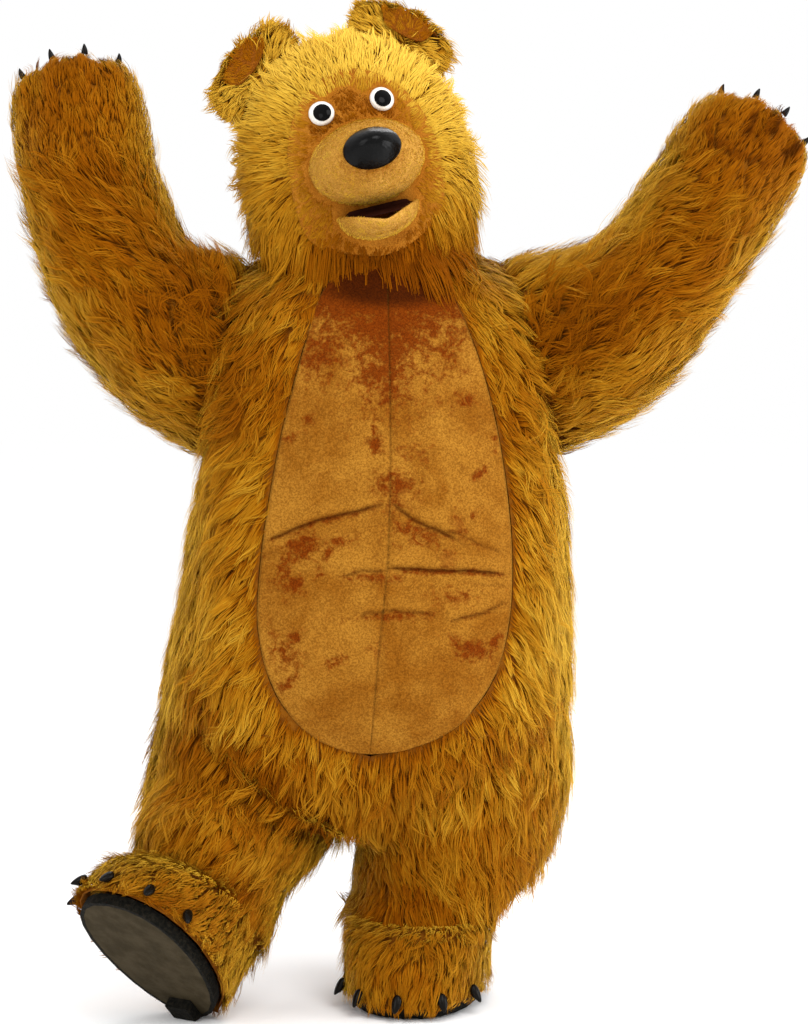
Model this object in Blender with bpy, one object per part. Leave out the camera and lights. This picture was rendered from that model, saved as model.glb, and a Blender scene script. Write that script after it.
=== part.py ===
"""Bear mascot costume, worn hollow: arms raised, weight on the left boot, right heel forward.

Units are metres. X runs to the wearer's left, Y to the back, Z up. Heights in the tables are
above the floor, and the costume hangs from a hold point between the wearer's shoulders.
Each cloth piece is a wall between its backing, next to the wearer, and its outer side, which
for fur is where the pile ends.
"""
import math

import bmesh
import bpy
from mathutils import Matrix, Vector
from mathutils.bvhtree import BVHTree

HOLD_HEIGHT = 1.50        # shoulder height, where the wearer holds the costume up
SEAM_GAP = 0.0003         # clearance between two pieces at a seam
SEAT_GAP = 0.0008         # clearance of a small piece that is seated on a curved surface
LONG_SEAT_GAP = 0.0025    # the same for a long edge, whose middle comes nearer
PATCH_SEAT_GAP = 0.0031   # the same for a broad patch, whose facets cross those under it
RAY_START = 0.3           # how far outside a surface a piece's way onto it starts

PILE = 0.028              # long fur with its backing
PLUSH = 0.005             # short-pile plush, and fur trimmed to its level beside it
PILE_BLEND = 0.070        # distance over which the trimmed fur grows to full length

QUARTER = math.pi / 2


# --- small helpers ---------------------------------------------------------------------------

def lerp(a, b, t):
    return a + (b - a) * t


def smoothstep(t):
    t = min(max(t, 0.0), 1.0)
    return t * t * (3.0 - 2.0 * t)


def curve(p0, p1, p2, p3, t):
    """Point on the smooth curve that runs from p1 to p2."""
    return (p1 * 2.0 + (p2 - p0) * t + (p0 * 2.0 - p1 * 5.0 + p2 * 4.0 - p3) * (t * t)
            + (p1 * 3.0 - p0 - p2 * 3.0 + p3) * (t * t * t)) * 0.5


def read_table(rows, v):
    """The numbers at place v of a table, curved smoothly through its rows."""
    last = len(rows) - 1
    v = min(max(v, 0.0), float(last))
    i = min(int(v), last - 1)
    near = [rows[min(max(i + k, 0), last)] for k in (-1, 0, 1, 2)]
    return [curve(*column, v - i) for column in zip(*near)]


def solve(f, low, high):
    """Where f changes sign between low and high."""
    low_positive = f(low) > 0.0
    for _ in range(36):
        middle = (low + high) / 2.0
        if (f(middle) > 0.0) == low_positive:
            low = middle
        else:
            high = middle
    return (low + high) / 2.0


def in_plane(direction, plane_normal):
    """The direction without its part along the plane's normal, at unit length."""
    return (direction - plane_normal * direction.dot(plane_normal)).normalized()


def is_point(row):
    return max((p - row[0]).length for p in row) < 1e-6


def fill_rows(rows, steps):
    """Rings or rows with steps - 1 more between each two, curved smoothly through them."""
    last = len(rows) - 1
    out = []
    for i in range(last):
        near = [rows[min(max(i + k, 0), last)] for k in (-1, 0, 1, 2)]
        for k in range(steps):
            out.append([curve(*points, k / steps) for points in zip(*near)])
    out.append(list(rows[last]))
    return out


def grid_normals(grid, inside):
    """Unit normals of a grid of closed rings, pointing away from the point inside."""
    last = len(grid) - 1
    normals = []
    for i, row in enumerate(grid):
        above, below = grid[max(i - 1, 0)], grid[min(i + 1, last)]
        count = len(row)
        line = []
        for j in range(count):
            along = below[j] - above[j]
            around = row[(j + 1) % count] - row[j - 1]
            if around.length < 1e-6:
                ring = grid[i - 1] if i else grid[1]
                middle = sum(ring, Vector()) / count
                normal = row[j] - middle
            else:
                normal = along.cross(around)
            if normal.dot(row[j] - inside) < 0.0:
                normal.negate()
            line.append(normal.normalized())
        normals.append(line)
    return normals


# --- making objects --------------------------------------------------------------------------

def material(name, colour, roughness, metallic=0.0):
    mat = bpy.data.materials.new(name)
    mat.use_nodes = True
    shader = mat.node_tree.nodes["Principled BSDF"]
    shader.inputs["Base Color"].default_value = (*colour, 1.0)
    shader.inputs["Roughness"].default_value = roughness
    shader.inputs["Metallic"].default_value = metallic
    return mat


def add_object(name, mesh_edit, mat):
    """One closed body, hung from the hold point."""
    bmesh.ops.remove_doubles(mesh_edit, verts=mesh_edit.verts, dist=2e-6)
    bmesh.ops.recalc_face_normals(mesh_edit, faces=mesh_edit.faces)
    mesh = bpy.data.meshes.new(name)
    mesh_edit.to_mesh(mesh)
    mesh_edit.free()
    mesh.materials.append(mat)
    mesh.shade_smooth()
    mesh.set_sharp_from_angle(angle=math.radians(40))
    obj = bpy.data.objects.new(name, mesh)
    obj.parent = hold_point
    bpy.context.collection.objects.link(obj)
    return obj


def add_faces(mesh_edit, rows, closed):
    """Quads between neighbouring rows of vertices."""
    for upper, lower in zip(rows, rows[1:]):
        count = len(upper)
        for j in range(count if closed else count - 1):
            k = (j + 1) % count
            mesh_edit.faces.new((upper[j], upper[k], lower[k], lower[j]))


def add_rim(mesh_edit, inner, skin, closed):
    """Triangles along a seam, cut the same way on both of the pieces that meet there."""
    def place(vert):
        return vert.co.x + 2.0 * vert.co.y + 3.0 * vert.co.z

    count = len(inner)
    for i in range(count if closed else count - 1):
        a, b = i, (i + 1) % count
        if place(inner[a]) > place(inner[b]):
            a, b = b, a
        mesh_edit.faces.new((inner[a], inner[b], skin[b]))
        mesh_edit.faces.new((inner[a], skin[b], skin[a]))


def edge_shifts(inner, skin, inward, closed):
    """Moves that draw one edge of a wall back from its seam; inward tells which way is in."""
    count = len(inner)
    moves = []
    for k in range(count):
        before = inner[k - 1] if closed or k else inner[k]
        after = inner[(k + 1) % count] if closed or k < count - 1 else inner[k]
        moves.append((after - before).cross(skin[k] - inner[k]).normalized())
    agree = sum(move.dot(way) for move, way in zip(moves, inward))
    size = SEAM_GAP / 2.0 if agree > 0.0 else -SEAM_GAP / 2.0
    return [move * size for move in moves]


def seam_shifts(base, outer, closed):
    """How far each edge point of a wall moves into its own piece to leave the seam's gap."""
    rows, columns = len(base), len(base[0])
    shifts = {}

    def add(places, inner_places):
        inner = [base[i][j] for i, j in places]
        skin = [outer[i][j] for i, j in places]
        inward = [base[m][n] - base[i][j] for (i, j), (m, n) in zip(places, inner_places)]
        ring = closed and places[0][0] == places[-1][0]
        for place, move in zip(places, edge_shifts(inner, skin, inward, ring)):
            shifts[place] = shifts.get(place, Vector()) + move

    for i, neighbour in ((0, 1), (rows - 1, rows - 2)):
        if not is_point(base[i]):
            add([(i, j) for j in range(columns)],
                [(neighbour if closed else rows // 2, j) for j in range(columns)])
    if not closed:
        for j, neighbour in ((0, 1), (columns - 1, columns - 2)):
            add([(i, j) for i in range(rows)], [(i, neighbour) for i in range(rows)])
    for i in (0, rows - 1):
        if is_point(base[i]):
            total = shifts.get((i, 0), Vector()) + shifts.get((i, columns - 1), Vector())
            for j in range(columns):
                shifts[i, j] = total
    return shifts


def add_wall(name, base, outer, mat, closed=False):
    """A cloth piece between two grids of points, with the seams' gap taken off its edges."""
    shifts = seam_shifts(base, outer, closed)
    mesh_edit = bmesh.new()
    sides = []
    for grid in (base, outer):
        sides.append([[mesh_edit.verts.new(p + shifts.get((i, j), Vector()))
                       for j, p in enumerate(row)] for i, row in enumerate(grid)])
    inner, skin = sides
    add_faces(mesh_edit, inner, closed)
    add_faces(mesh_edit, skin, closed)
    for i in (0, -1):
        if closed and is_point(base[i]):
            continue
        add_rim(mesh_edit, inner[i], skin[i], closed)
    if not closed:
        for j in (0, -1):
            add_rim(mesh_edit, [row[j] for row in inner], [row[j] for row in skin], False)
    return add_object(name, mesh_edit, mat)


def add_solid(name, rings, mat):
    """A full body through closed rings, with a face on each end that is not a point."""
    mesh_edit = bmesh.new()
    rows = [[mesh_edit.verts.new(p) for p in ring] for ring in rings]
    add_faces(mesh_edit, rows, True)
    for i in (0, -1):
        if not is_point(rings[i]):
            mesh_edit.faces.new(rows[i])
    return add_object(name, mesh_edit, mat)


def surface_of(obj):
    """The faces of a finished object, for seating another piece on it."""
    points = [v.co.copy() for v in obj.data.vertices]
    return BVHTree.FromPolygons(points, [list(p.vertices) for p in obj.data.polygons])


def ring_surface(grid):
    """The surface through a grid of closed rings, with no seams, for seating a piece on it."""
    count = len(grid[0])
    points = [point for row in grid for point in row]
    faces = []
    for i in range(len(grid) - 1):
        for j in range(count):
            a, b = i * count + j, i * count + (j + 1) % count
            faces.append([a, b, b + count, a + count])
    return BVHTree.FromPolygons(points, faces)


def seat(surface, point, toward, gap=SEAT_GAP):
    """The place just off a surface that is met when going from point toward another point."""
    way = (toward - point).normalized()
    hit = surface.ray_cast(point - way * RAY_START, way)[0]
    return hit - way * gap


# --- scene and materials ---------------------------------------------------------------------

for old in list(bpy.data.objects):
    bpy.data.objects.remove(old, do_unlink=True)

hold_point = bpy.data.objects.new("hold_point", None)
hold_point.location = (0.0, 0.0, -HOLD_HEIGHT)
bpy.context.collection.objects.link(hold_point)

FUR = material("golden_fur", (0.46, 0.24, 0.045), 0.85)
BELLY_PLUSH = material("belly_plush", (0.44, 0.21, 0.05), 0.75)
MASK_PLUSH = material("mask_plush", (0.40, 0.17, 0.04), 0.80)
PALE_PLUSH = material("pale_plush", (0.62, 0.36, 0.14), 0.75)
EAR_PLUSH = material("ear_plush", (0.30, 0.13, 0.03), 0.85)
SOLE_SUEDE = material("sole_suede", (0.055, 0.043, 0.030), 0.80)
BLACK_BINDING = material("black_binding", (0.012, 0.011, 0.010), 0.70)
BLACK_GLOSS = material("black_gloss", (0.008, 0.008, 0.009), 0.12)
MOUTH_DARK = material("mouth_dark", (0.020, 0.008, 0.006), 0.60)
EYE_WHITE = material("eye_white", (0.80, 0.79, 0.75), 0.15)


# --- body of the suit ------------------------------------------------------------------------

SIDE_ROUNDNESS = 0.87     # 1 makes the sections elliptical, less makes them squarer

# The backing's sections, from the neck down. Each has its half width, the X of its middle,
# the height of its side, and the Y and height of its front and of its back.
TORSO = (
    #  half     mid x   z side   y front  z front  y back  z back
    (0.180, 0.000, 1.5500, -0.155, 1.5060, 0.140, 1.5896),   # neck
    (0.196, 0.001, 1.5130, -0.168, 1.4620, 0.151, 1.5540),   # neck base
    (0.262, 0.003, 1.4950, -0.196, 1.4200, 0.178, 1.5180),   # shoulder
    (0.325, 0.006, 1.4350, -0.226, 1.3500, 0.207, 1.4400),   # upper chest
    (0.350, 0.010, 1.3250, -0.255, 1.2550, 0.224, 1.3250),   # chest
    (0.358, 0.012, 1.1700, -0.285, 1.1300, 0.233, 1.1750),   # armpit
    (0.364, 0.010, 1.0000, -0.308, 0.9850, 0.240, 1.0000),   # waist
    (0.378, 0.003, 0.8400, -0.325, 0.8350, 0.252, 0.8400),   # belly
    (0.395, -0.012, 0.6900, -0.323, 0.6900, 0.266, 0.6850),  # low belly
    (0.400, -0.024, 0.5700, -0.285, 0.5650, 0.262, 0.5600),  # hip
    (0.380, -0.045, 0.4650, -0.222, 0.4500, 0.222, 0.4500),  # seat
    (0.335, -0.060, 0.3800, -0.150, 0.3600, 0.150, 0.3600),  # crotch
    (0.270, -0.060, 0.3200, -0.090, 0.3050, 0.090, 0.3050),  # below the crotch
)
CHEST_V, WAIST_V, HEM_V = 3.5, 6.0, float(len(TORSO) - 1)


def torso_point(phi, v):
    """Point of the backing; phi is 0 in front and grows toward the wearer's left."""
    half, middle, z_side, y_front, z_front, y_back, z_back = read_table(TORSO, v)
    s, c = math.sin(phi), math.cos(phi)
    across = math.copysign(abs(s) ** SIDE_ROUNDNESS, s)
    depth = abs(c) ** SIDE_ROUNDNESS
    y_end, z_end = (y_front, z_front) if c >= 0.0 else (y_back, z_back)
    return Vector((middle + half * across, y_end * depth, lerp(z_side, z_end, depth)))


def torso_normal(phi, v):
    step = 0.02
    down = torso_point(phi, min(v + step, HEM_V)) - torso_point(phi, max(v - step, 0.0))
    around = torso_point(phi + step, v) - torso_point(phi - step, v)
    return down.cross(around).normalized()


def torso_spot(x, z, back=False):
    """(phi, v) of the backing's point at x and height z, in front or at the back."""
    phi = math.pi if back else 0.0
    low, high = phi - QUARTER, phi + QUARTER
    v = 0.0
    for _ in range(14):
        v = solve(lambda t: torso_point(phi, t).z - z, 0.0, HEM_V)
        phi = solve(lambda a: torso_point(a, v).x - x, low, high)
    return phi, v


# The belly panel's seam: height, and X of its right edge, its centre seam and its left edge.
BELLY = (
    #  z       right    centre   left
    (1.452, -0.102, 0.030, 0.158),
    (1.337, -0.138, 0.033, 0.205),
    (1.199, -0.174, 0.035, 0.243),
    (1.044, -0.204, 0.034, 0.268),
    (0.910, -0.222, 0.029, 0.277),
    (0.790, -0.226, 0.017, 0.269),
    (0.693, -0.204, 0.008, 0.242),
    (0.632, -0.173, 0.003, 0.203),
    (0.591, -0.130, -0.001, 0.158),
    (0.560, -0.070, -0.004, 0.080),
    (0.534, -0.005, -0.005, -0.005),
)
BELLY_STEPS = 2           # rows of the walls for each row of the table
BELLY_COLUMNS = 9
SIDE_COLUMNS = 7
CROTCH = Vector((-0.060, 0.0, 0.366))

# The sleeves' seams lie in planes that contain Y: X and height at the shoulder and the armpit.
ARMHOLES = {
    #        shoulder x, z     armpit x, z
    1: ((0.264, 1.497), (0.370, 1.140)),
    -1: ((-0.257, 1.497), (-0.348, 1.125)),
}
# The legs' seams sag from the hip to the crotch: X and height at the hip, and the sag.
LEG_SEAMS = {
    1: (0.420, 0.640, 0.030),
    -1: (-0.440, 0.665, 0.025),
}
ARM_ROWS = 7              # rows of the walls between the shoulder and the armpit
# How far down the side seam each row lies: rows below the armpit, share of the way to the hip.
SIDE_STOPS = ((0, 0.0), (4, 0.70), (8, 0.91), (18, 1.0))


def armhole_side(side, point):
    """Positive where a point is on the sleeve's side of the armhole's plane."""
    (x_top, z_top), (x_low, z_low) = ARMHOLES[side]
    x_cut = lerp(x_low, x_top, (point.z - z_low) / (z_top - z_low))
    return (point.x - x_cut) * side


def armhole_normal(side):
    (x_top, z_top), (x_low, z_low) = ARMHOLES[side]
    return Vector((z_top - z_low, 0.0, x_low - x_top)).normalized() * side


def leg_seam_height(side, x):
    hip_x, hip_z, sag = LEG_SEAMS[side]
    t = (x - CROTCH.x) / (hip_x - CROTCH.x)
    return lerp(CROTCH.z, hip_z, t) - sag * math.sin(math.pi * min(max(t, 0.0), 1.0))


def leg_seam_normal(side, x):
    step = 0.005
    rise = leg_seam_height(side, x + step) - leg_seam_height(side, x - step)
    return Vector((-rise, 0.0, 2.0 * step)).normalized()


def on_leg_seam(phi, side):
    """v of the backing's point on the leg's seam at angle phi."""
    def above(v):
        point = torso_point(phi, v)
        return point.z - leg_seam_height(side, point.x)
    return solve(above, WAIST_V, HEM_V)


def armhole_ends(side):
    """Places v of the shoulder and the armpit on the side."""
    def beyond(v):
        return armhole_side(side, torso_point(side * QUARTER, v))
    return solve(beyond, 0.0, CHEST_V), solve(beyond, CHEST_V, WAIST_V)


ARMHOLE_ENDS = {side: armhole_ends(side) for side in (1, -1)}


def armhole_phi(side, back, v):
    """phi of the armhole's seam at v, or of the side where v is above or below it."""
    shoulder, armpit = ARMHOLE_ENDS[side]
    if not shoulder < v < armpit:
        return side * QUARTER
    middle = math.pi * side if back else 0.0
    return solve(lambda a: armhole_side(side, torso_point(a, v)), middle, side * QUARTER)


def side_edge(side):
    """Places v down the outer edge of the front and back panels."""
    shoulder, armpit = ARMHOLE_ENDS[side]
    hip = on_leg_seam(side * QUARTER, side)
    edge = [0.0, shoulder * 0.5]
    edge += [lerp(shoulder, armpit, k / ARM_ROWS) for k in range(ARM_ROWS)]
    for (row, share), (next_row, next_share) in zip(SIDE_STOPS, SIDE_STOPS[1:]):
        for k in range(row, next_row):
            t = lerp(share, next_share, (k - row) / (next_row - row))
            edge.append(lerp(armpit, hip, t))
    return edge + [hip]


belly_rows = fill_rows([[Vector(row[:2] + (0.0,)), Vector(row[2:] + (0.0, 0.0))] for row in BELLY],
                       BELLY_STEPS)


def belly_spots(column):
    """(phi, v) down the belly's right edge, centre seam or left edge, from the neck."""
    spots = []
    for first, rest in belly_rows:
        x = (first.y, rest.x, rest.y)[column]
        spots.append(torso_spot(x, first.x))
    top = spots[0][0]
    return [(top, 0.0)] + spots


BELLY_EDGES = {-1: belly_spots(0), 0: belly_spots(1), 1: belly_spots(2)}
BELLY_END = BELLY_EDGES[0][-1]
CROTCH_FRONT = torso_spot(CROTCH.x, CROTCH.z)
CROTCH_BACK = torso_spot(CROTCH.x, CROTCH.z, back=True)
CENTRE_ROWS = 6           # rows between the belly panel's end and the crotch

centre_front = [tuple(lerp(a, b, k / CENTRE_ROWS) for a, b in zip(BELLY_END, CROTCH_FRONT))
                for k in range(1, CENTRE_ROWS + 1)]
INNER_FRONT = BELLY_EDGES[1] + centre_front
belly_outline = [torso_point(*spot) for side in (1, -1) for spot in BELLY_EDGES[side]]


def pile_height(point):
    """Fur is trimmed beside the belly panel."""
    near = min((point - edge).length for edge in belly_outline)
    return lerp(PLUSH, PILE, smoothstep(near / PILE_BLEND))


# The belly's largest folds: where each starts and ends, how far it bows, and its depth.
BELLY_FOLDS = (
    #  x1      z1      x2      z2     bow     depth
    (-0.195, 0.975, 0.030, 1.045, 0.020, 0.010),
    (0.040, 1.045, 0.150, 0.965, 0.008, 0.007),
    (-0.050, 0.900, 0.230, 0.885, 0.010, 0.009),
    (-0.040, 0.815, 0.150, 0.815, -0.006, 0.006),
    (0.165, 0.808, 0.262, 0.838, 0.000, 0.006),
)
FOLD_WIDTH = 0.018


def fold_depth(point):
    """How far the belly's plush sinks at a point."""
    depth = 0.0
    for x1, z1, x2, z2, bow, deep in BELLY_FOLDS:
        run = Vector((x2 - x1, z2 - z1))
        t = (Vector((point.x - x1, point.z - z1)).dot(run)) / run.length_squared
        if -0.1 < t < 1.1:
            line_z = lerp(z1, z2, t) + bow * math.sin(math.pi * min(max(t, 0.0), 1.0))
            away = (point.z - line_z) / FOLD_WIDTH
            ends = smoothstep((t + 0.1) / 0.3) * smoothstep((1.1 - t) / 0.3)
            depth = max(depth, deep * ends * math.exp(-away * away))
    return depth


NECK_CENTRE = Vector((0.0, 0.0, TORSO[0][2]))
NECK_NORMAL = Vector((0.0, TORSO[0][4] - TORSO[0][2], -TORSO[0][3])).normalized()
REACH_SHARE = 0.8         # a wall spends at most this share of the room up to a seam's plane
ARMPIT_REACH = 0.6        # rows of the table below the armpit where the sleeve's fur hangs
ARMPIT_RELIEF = 0.10      # room gained for each row of the table below that


def keep_behind(way, height, plane_normal, room):
    """Turn a wall's direction so that its outer side stays behind a plane."""
    limit = max(REACH_SHARE * room / height, 0.0)
    if way.dot(plane_normal) <= limit:
        return way
    return in_plane(way, plane_normal) * math.sqrt(1.0 - limit * limit) + plane_normal * limit


def wall_at(phi, v, height, seam_normal=None, share=1.0):
    """Backing and outer point of the suit's wall, turned into a seam's surface by a share."""
    base = torso_point(phi, v)
    way = torso_normal(phi, v)
    way = keep_behind(way, height, NECK_NORMAL, (NECK_CENTRE - base).dot(NECK_NORMAL))
    side = 1 if math.sin(phi) > 0.0 else -1
    normal = armhole_normal(side)
    shoulder_x, shoulder_z = ARMHOLES[side][0]
    room = (Vector((shoulder_x, base.y, shoulder_z)) - base).dot(normal)
    past_armpit = max(v - ARMHOLE_ENDS[side][1] - ARMPIT_REACH, 0.0)
    way = keep_behind(way, height, normal, max(room, 0.0) + ARMPIT_RELIEF * past_armpit)
    if seam_normal is not None:
        way = lerp(way, in_plane(way, seam_normal), share).normalized()
    return base, base + way * height


INNER_FRONT_RIGHT = BELLY_EDGES[-1] + centre_front
SIDE_EDGES = {1: side_edge(1), -1: side_edge(-1)}
LAST_ROW = len(INNER_FRONT) - 1
LEG_BLEND = 8             # rows over which the panels' rows turn to follow the leg's seam


def centre_back():
    """(phi, v) down the centre back seam, from the neck to the crotch."""
    spots = []
    start = LAST_ROW - LEG_BLEND - 1
    for i in range(LAST_ROW + 1):
        v = (SIDE_EDGES[1][min(i, start)] + SIDE_EDGES[-1][min(i, start)]) / 2.0
        share = max(0.0, (i - start) / (LAST_ROW - start))
        phi = lerp(math.pi, CROTCH_BACK[0], smoothstep(i / LAST_ROW))
        spots.append((phi, lerp(v, CROTCH_BACK[1], share)))
    return spots


def inner_edge(side, back):
    """(phi, v) down a panel's inner edge: the belly's outline and the centre seam, or the back."""
    if not back:
        return INNER_FRONT if side > 0 else INNER_FRONT_RIGHT
    whole_turn = 0.0 if side > 0 else 2.0 * math.pi
    return [(phi - whole_turn, v) for phi, v in CENTRE_BACK]


CENTRE_BACK = centre_back()


def torso_panel(side, back):
    """Backing and outer grids of a front or back panel, from the centre to the side."""
    edge = SIDE_EDGES[side]
    centre = inner_edge(side, back)
    end_phi, end_v = centre[-1]
    blend_row = LAST_ROW - LEG_BLEND
    base, outer = [], []
    for i, (v_side, (phi_in, v_in)) in enumerate(zip(edge, centre)):
        base_row, outer_row = [], []
        for j in range(SIDE_COLUMNS + 1):
            u = j / SIDE_COLUMNS
            v = lerp(v_in, v_side, u)
            phi = lerp(phi_in, armhole_phi(side, back, v), u)
            leg_share = max(0.0, (i - blend_row) / LEG_BLEND)
            if leg_share and 0 < j < SIDE_COLUMNS:
                seam_v = on_leg_seam(lerp(end_phi, side * QUARTER, u), side)
                v += (seam_v - lerp(end_v, edge[-1], u)) * leg_share
            point = torso_point(phi, v)
            height = pile_height(point)
            leg_normal = leg_seam_normal(side, point.x) if leg_share and j else None
            inner_point, outer_point = wall_at(phi, v, height, leg_normal, leg_share)
            if i == LAST_ROW and j == 0:
                outer_point = inner_point + Vector((0.0, height if back else -height, 0.0))
            base_row.append(inner_point)
            outer_row.append(outer_point)
        base.append(base_row)
        outer.append(outer_row)
    return base, outer


panels = {}
for side, word in ((1, "left"), (-1, "right")):
    for back, place in ((False, "front"), (True, "back")):
        panels[side, back] = torso_panel(side, back)
        add_wall(f"{place}_{word}", *panels[side, back], FUR)

    base, outer = [], []
    for centre, edge in zip(BELLY_EDGES[0], BELLY_EDGES[side]):
        base_row, outer_row = [], []
        for j in range(BELLY_COLUMNS + 1):
            phi, v = (lerp(a, b, j / BELLY_COLUMNS) for a, b in zip(centre, edge))
            inner_point, outer_point = wall_at(phi, v, PLUSH)
            sink = (inner_point - outer_point).normalized() * fold_depth(inner_point)
            base_row.append(inner_point + sink if 0 < j < BELLY_COLUMNS else inner_point)
            outer_row.append(outer_point + sink if 0 < j < BELLY_COLUMNS else outer_point)
        base.append(base_row)
        outer.append(outer_row)
    add_wall(f"belly_{word}", base, outer, BELLY_PLUSH)


# --- sleeves ---------------------------------------------------------------------------------

RING = 18                 # points around a sleeve or a leg
LIMB_STEPS = 2            # rows of the walls for each row of a limb's table

# A sleeve's sections over the pile: X and height of its lower and its upper edge, Y of its
# middle, and half its depth. The last one is the cuff.
SLEEVES = {
    1: (
        #  x low  z low  x high z high y mid   half depth
        (0.505, 1.176, 0.397, 1.548, -0.035, 0.168),
        (0.576, 1.234, 0.456, 1.576, -0.045, 0.160),
        (0.646, 1.312, 0.497, 1.620, -0.055, 0.152),
        (0.701, 1.397, 0.529, 1.668, -0.065, 0.144),
        (0.754, 1.484, 0.564, 1.714, -0.078, 0.136),
        (0.783, 1.530, 0.583, 1.742, -0.085, 0.130),
    ),
    -1: (
        (-0.480, 1.189, -0.345, 1.546, -0.035, 0.168),
        (-0.560, 1.275, -0.379, 1.576, -0.045, 0.160),
        (-0.628, 1.367, -0.396, 1.614, -0.055, 0.152),
        (-0.668, 1.468, -0.411, 1.648, -0.065, 0.144),
        (-0.697, 1.569, -0.426, 1.684, -0.075, 0.136),
        (-0.718, 1.679, -0.437, 1.720, -0.085, 0.130),
    ),
}


def armhole_rings(side):
    """Backing and outer ring of a sleeve where it is sewn to the body."""
    shoulder, armpit = ARMHOLE_ENDS[side]
    base, outer = [], []
    for k in range(RING):
        angle = 2.0 * math.pi * k / RING
        v = lerp(shoulder, armpit, (1.0 - math.cos(angle)) / 2.0)
        phi = armhole_phi(side, angle > math.pi, v)
        inner_point, outer_point = wall_at(phi, v, PILE)
        base.append(inner_point)
        outer.append(outer_point)
    return base, outer


def limb_rings(middle, first_axis, second_axis, pile=PILE):
    """Backing and outer ring of a limb: an ellipse on two half axes, over the pile."""
    rings = []
    for cut in (pile, 0.0):
        a = first_axis * (1.0 - cut / first_axis.length)
        b = second_axis * (1.0 - cut / second_axis.length)
        rings.append([middle + a * math.cos(2.0 * math.pi * k / RING)
                      + b * math.sin(2.0 * math.pi * k / RING) for k in range(RING)])
    return rings


def cuff(side):
    """Middle of a sleeve's end, and the half axes that span it."""
    x_low, z_low, x_high, z_high, y, half_depth = SLEEVES[side][-1]
    middle = Vector(((x_low + x_high) / 2.0, y, (z_low + z_high) / 2.0))
    across = Vector(((x_high - x_low) / 2.0, 0.0, (z_high - z_low) / 2.0))
    return middle, across, Vector((0.0, -half_depth, 0.0))


for side, word in ((1, "left"), (-1, "right")):
    base, outer = ([ring] for ring in armhole_rings(side))
    for x_low, z_low, x_high, z_high, y, half_depth in SLEEVES[side]:
        middle = Vector(((x_low + x_high) / 2.0, y, (z_low + z_high) / 2.0))
        across = Vector(((x_high - x_low) / 2.0, 0.0, (z_high - z_low) / 2.0))
        rings = limb_rings(middle, across, Vector((0.0, -half_depth, 0.0)))
        base.append(rings[0])
        outer.append(rings[1])
    add_wall(f"sleeve_{word}", fill_rows(base, LIMB_STEPS), fill_rows(outer, LIMB_STEPS), FUR,
             closed=True)


# --- mitts -----------------------------------------------------------------------------------

MITT_PILE = 0.022
MITT_COLUMNS = 12         # three grooves between four fingers fall on columns 4, 6 and 8
MITT_ROWS = 8
MITT_HALF_WIDTH = 0.143
MITT_HALF_DEPTH = 0.105
FINGER_GROOVES = (-0.5, 0.0, 0.5)
GROOVE_WIDTH = 0.13
GROOVE_AT_TIP = 0.010     # how far the edge dips between two fingertips
GROOVE_DEPTH = 0.28       # share of the hand's thickness lost between two fingers
GROOVE_START, GROOVE_FADE = 0.45, 0.3         # shares of the hand where the grooves set in
FINGERS_TAPER = 0.16      # share of the hand's width lost toward the fingertips
OUTER_FINGERS_DROP = 0.050                    # how much shorter the outer fingers are
MITT_TIPS = {1: Vector((0.798, -0.115, 1.828)), -1: Vector((-0.612, -0.115, 1.928))}


def mitt_point(side, s, t, toward_front, inset):
    """Point of a mitt: s runs across the hand, t from the cuff to the fingertips."""
    middle, across, depth = cuff(side)
    length_way = MITT_TIPS[side] - middle
    length = length_way.length
    length_way.normalize()
    square = in_plane(across, length_way)
    across_way = lerp(across.normalized(), square, smoothstep(t * 2.0)).normalized()
    groove = sum(math.exp(-((s - g) / GROOVE_WIDTH) ** 2) for g in FINGER_GROOVES)
    half_width = lerp(across.length, MITT_HALF_WIDTH, smoothstep(t * 2.0))
    half_width *= 1.0 - FINGERS_TAPER * t ** 4
    half_depth = lerp(depth.length, MITT_HALF_DEPTH, smoothstep(t * 1.5))
    reach = length - OUTER_FINGERS_DROP * s * s - GROOVE_AT_TIP * groove - inset
    thin = 1.0 - GROOVE_DEPTH * groove * smoothstep((t - GROOVE_START) / GROOVE_FADE)
    bulge = math.sqrt(max(1.0 - s * s, 0.0)) * math.sqrt(max(1.0 - t ** 5, 0.0)) * thin
    forward = -1.0 if toward_front else 1.0
    return (middle + length_way * (reach * t) + across_way * ((half_width - inset) * s)
            + Vector((0.0, forward * (half_depth - inset) * bulge, 0.0)))


def mitt_half(side, toward_front):
    grids = []
    for inset in (MITT_PILE, 0.0):
        grid = []
        for i in range(MITT_ROWS + 1):
            t = 1.0 - (1.0 - i / MITT_ROWS) ** 1.6
            grid.append([mitt_point(side, math.sin(QUARTER * (2.0 * j / MITT_COLUMNS - 1.0)), t,
                                    toward_front, inset) for j in range(MITT_COLUMNS + 1)])
        grids.append(grid)
    return grids


def add_claw(name, root, way, upright, bend, sizes, profile):
    """A claw along a bent line: profile holds shares of its length and of its half widths."""
    length, half_height, half_width = sizes
    rings = []
    for along, share in profile:
        middle = root + way * (along * length) + bend * (along * along)
        first = upright * (half_height * share)
        second = way.cross(upright) * (half_width * share)
        rings.append([middle + first * math.cos(k * math.pi / 4.0)
                      + second * math.sin(k * math.pi / 4.0) for k in range(8)])
    return add_solid(name, rings, BLACK_GLOSS)


HAND_CLAW_PROFILE = ((0.0, 1.0), (0.35, 0.82), (0.7, 0.46), (1.0, 0.0))
HAND_CLAW_PLACES = (-0.80, -0.27, 0.27, 0.80)
HAND_CLAW_BEND = 0.014
HAND_CLAW = (0.024, 0.008, 0.008)             # length, and half widths at its root

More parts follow.
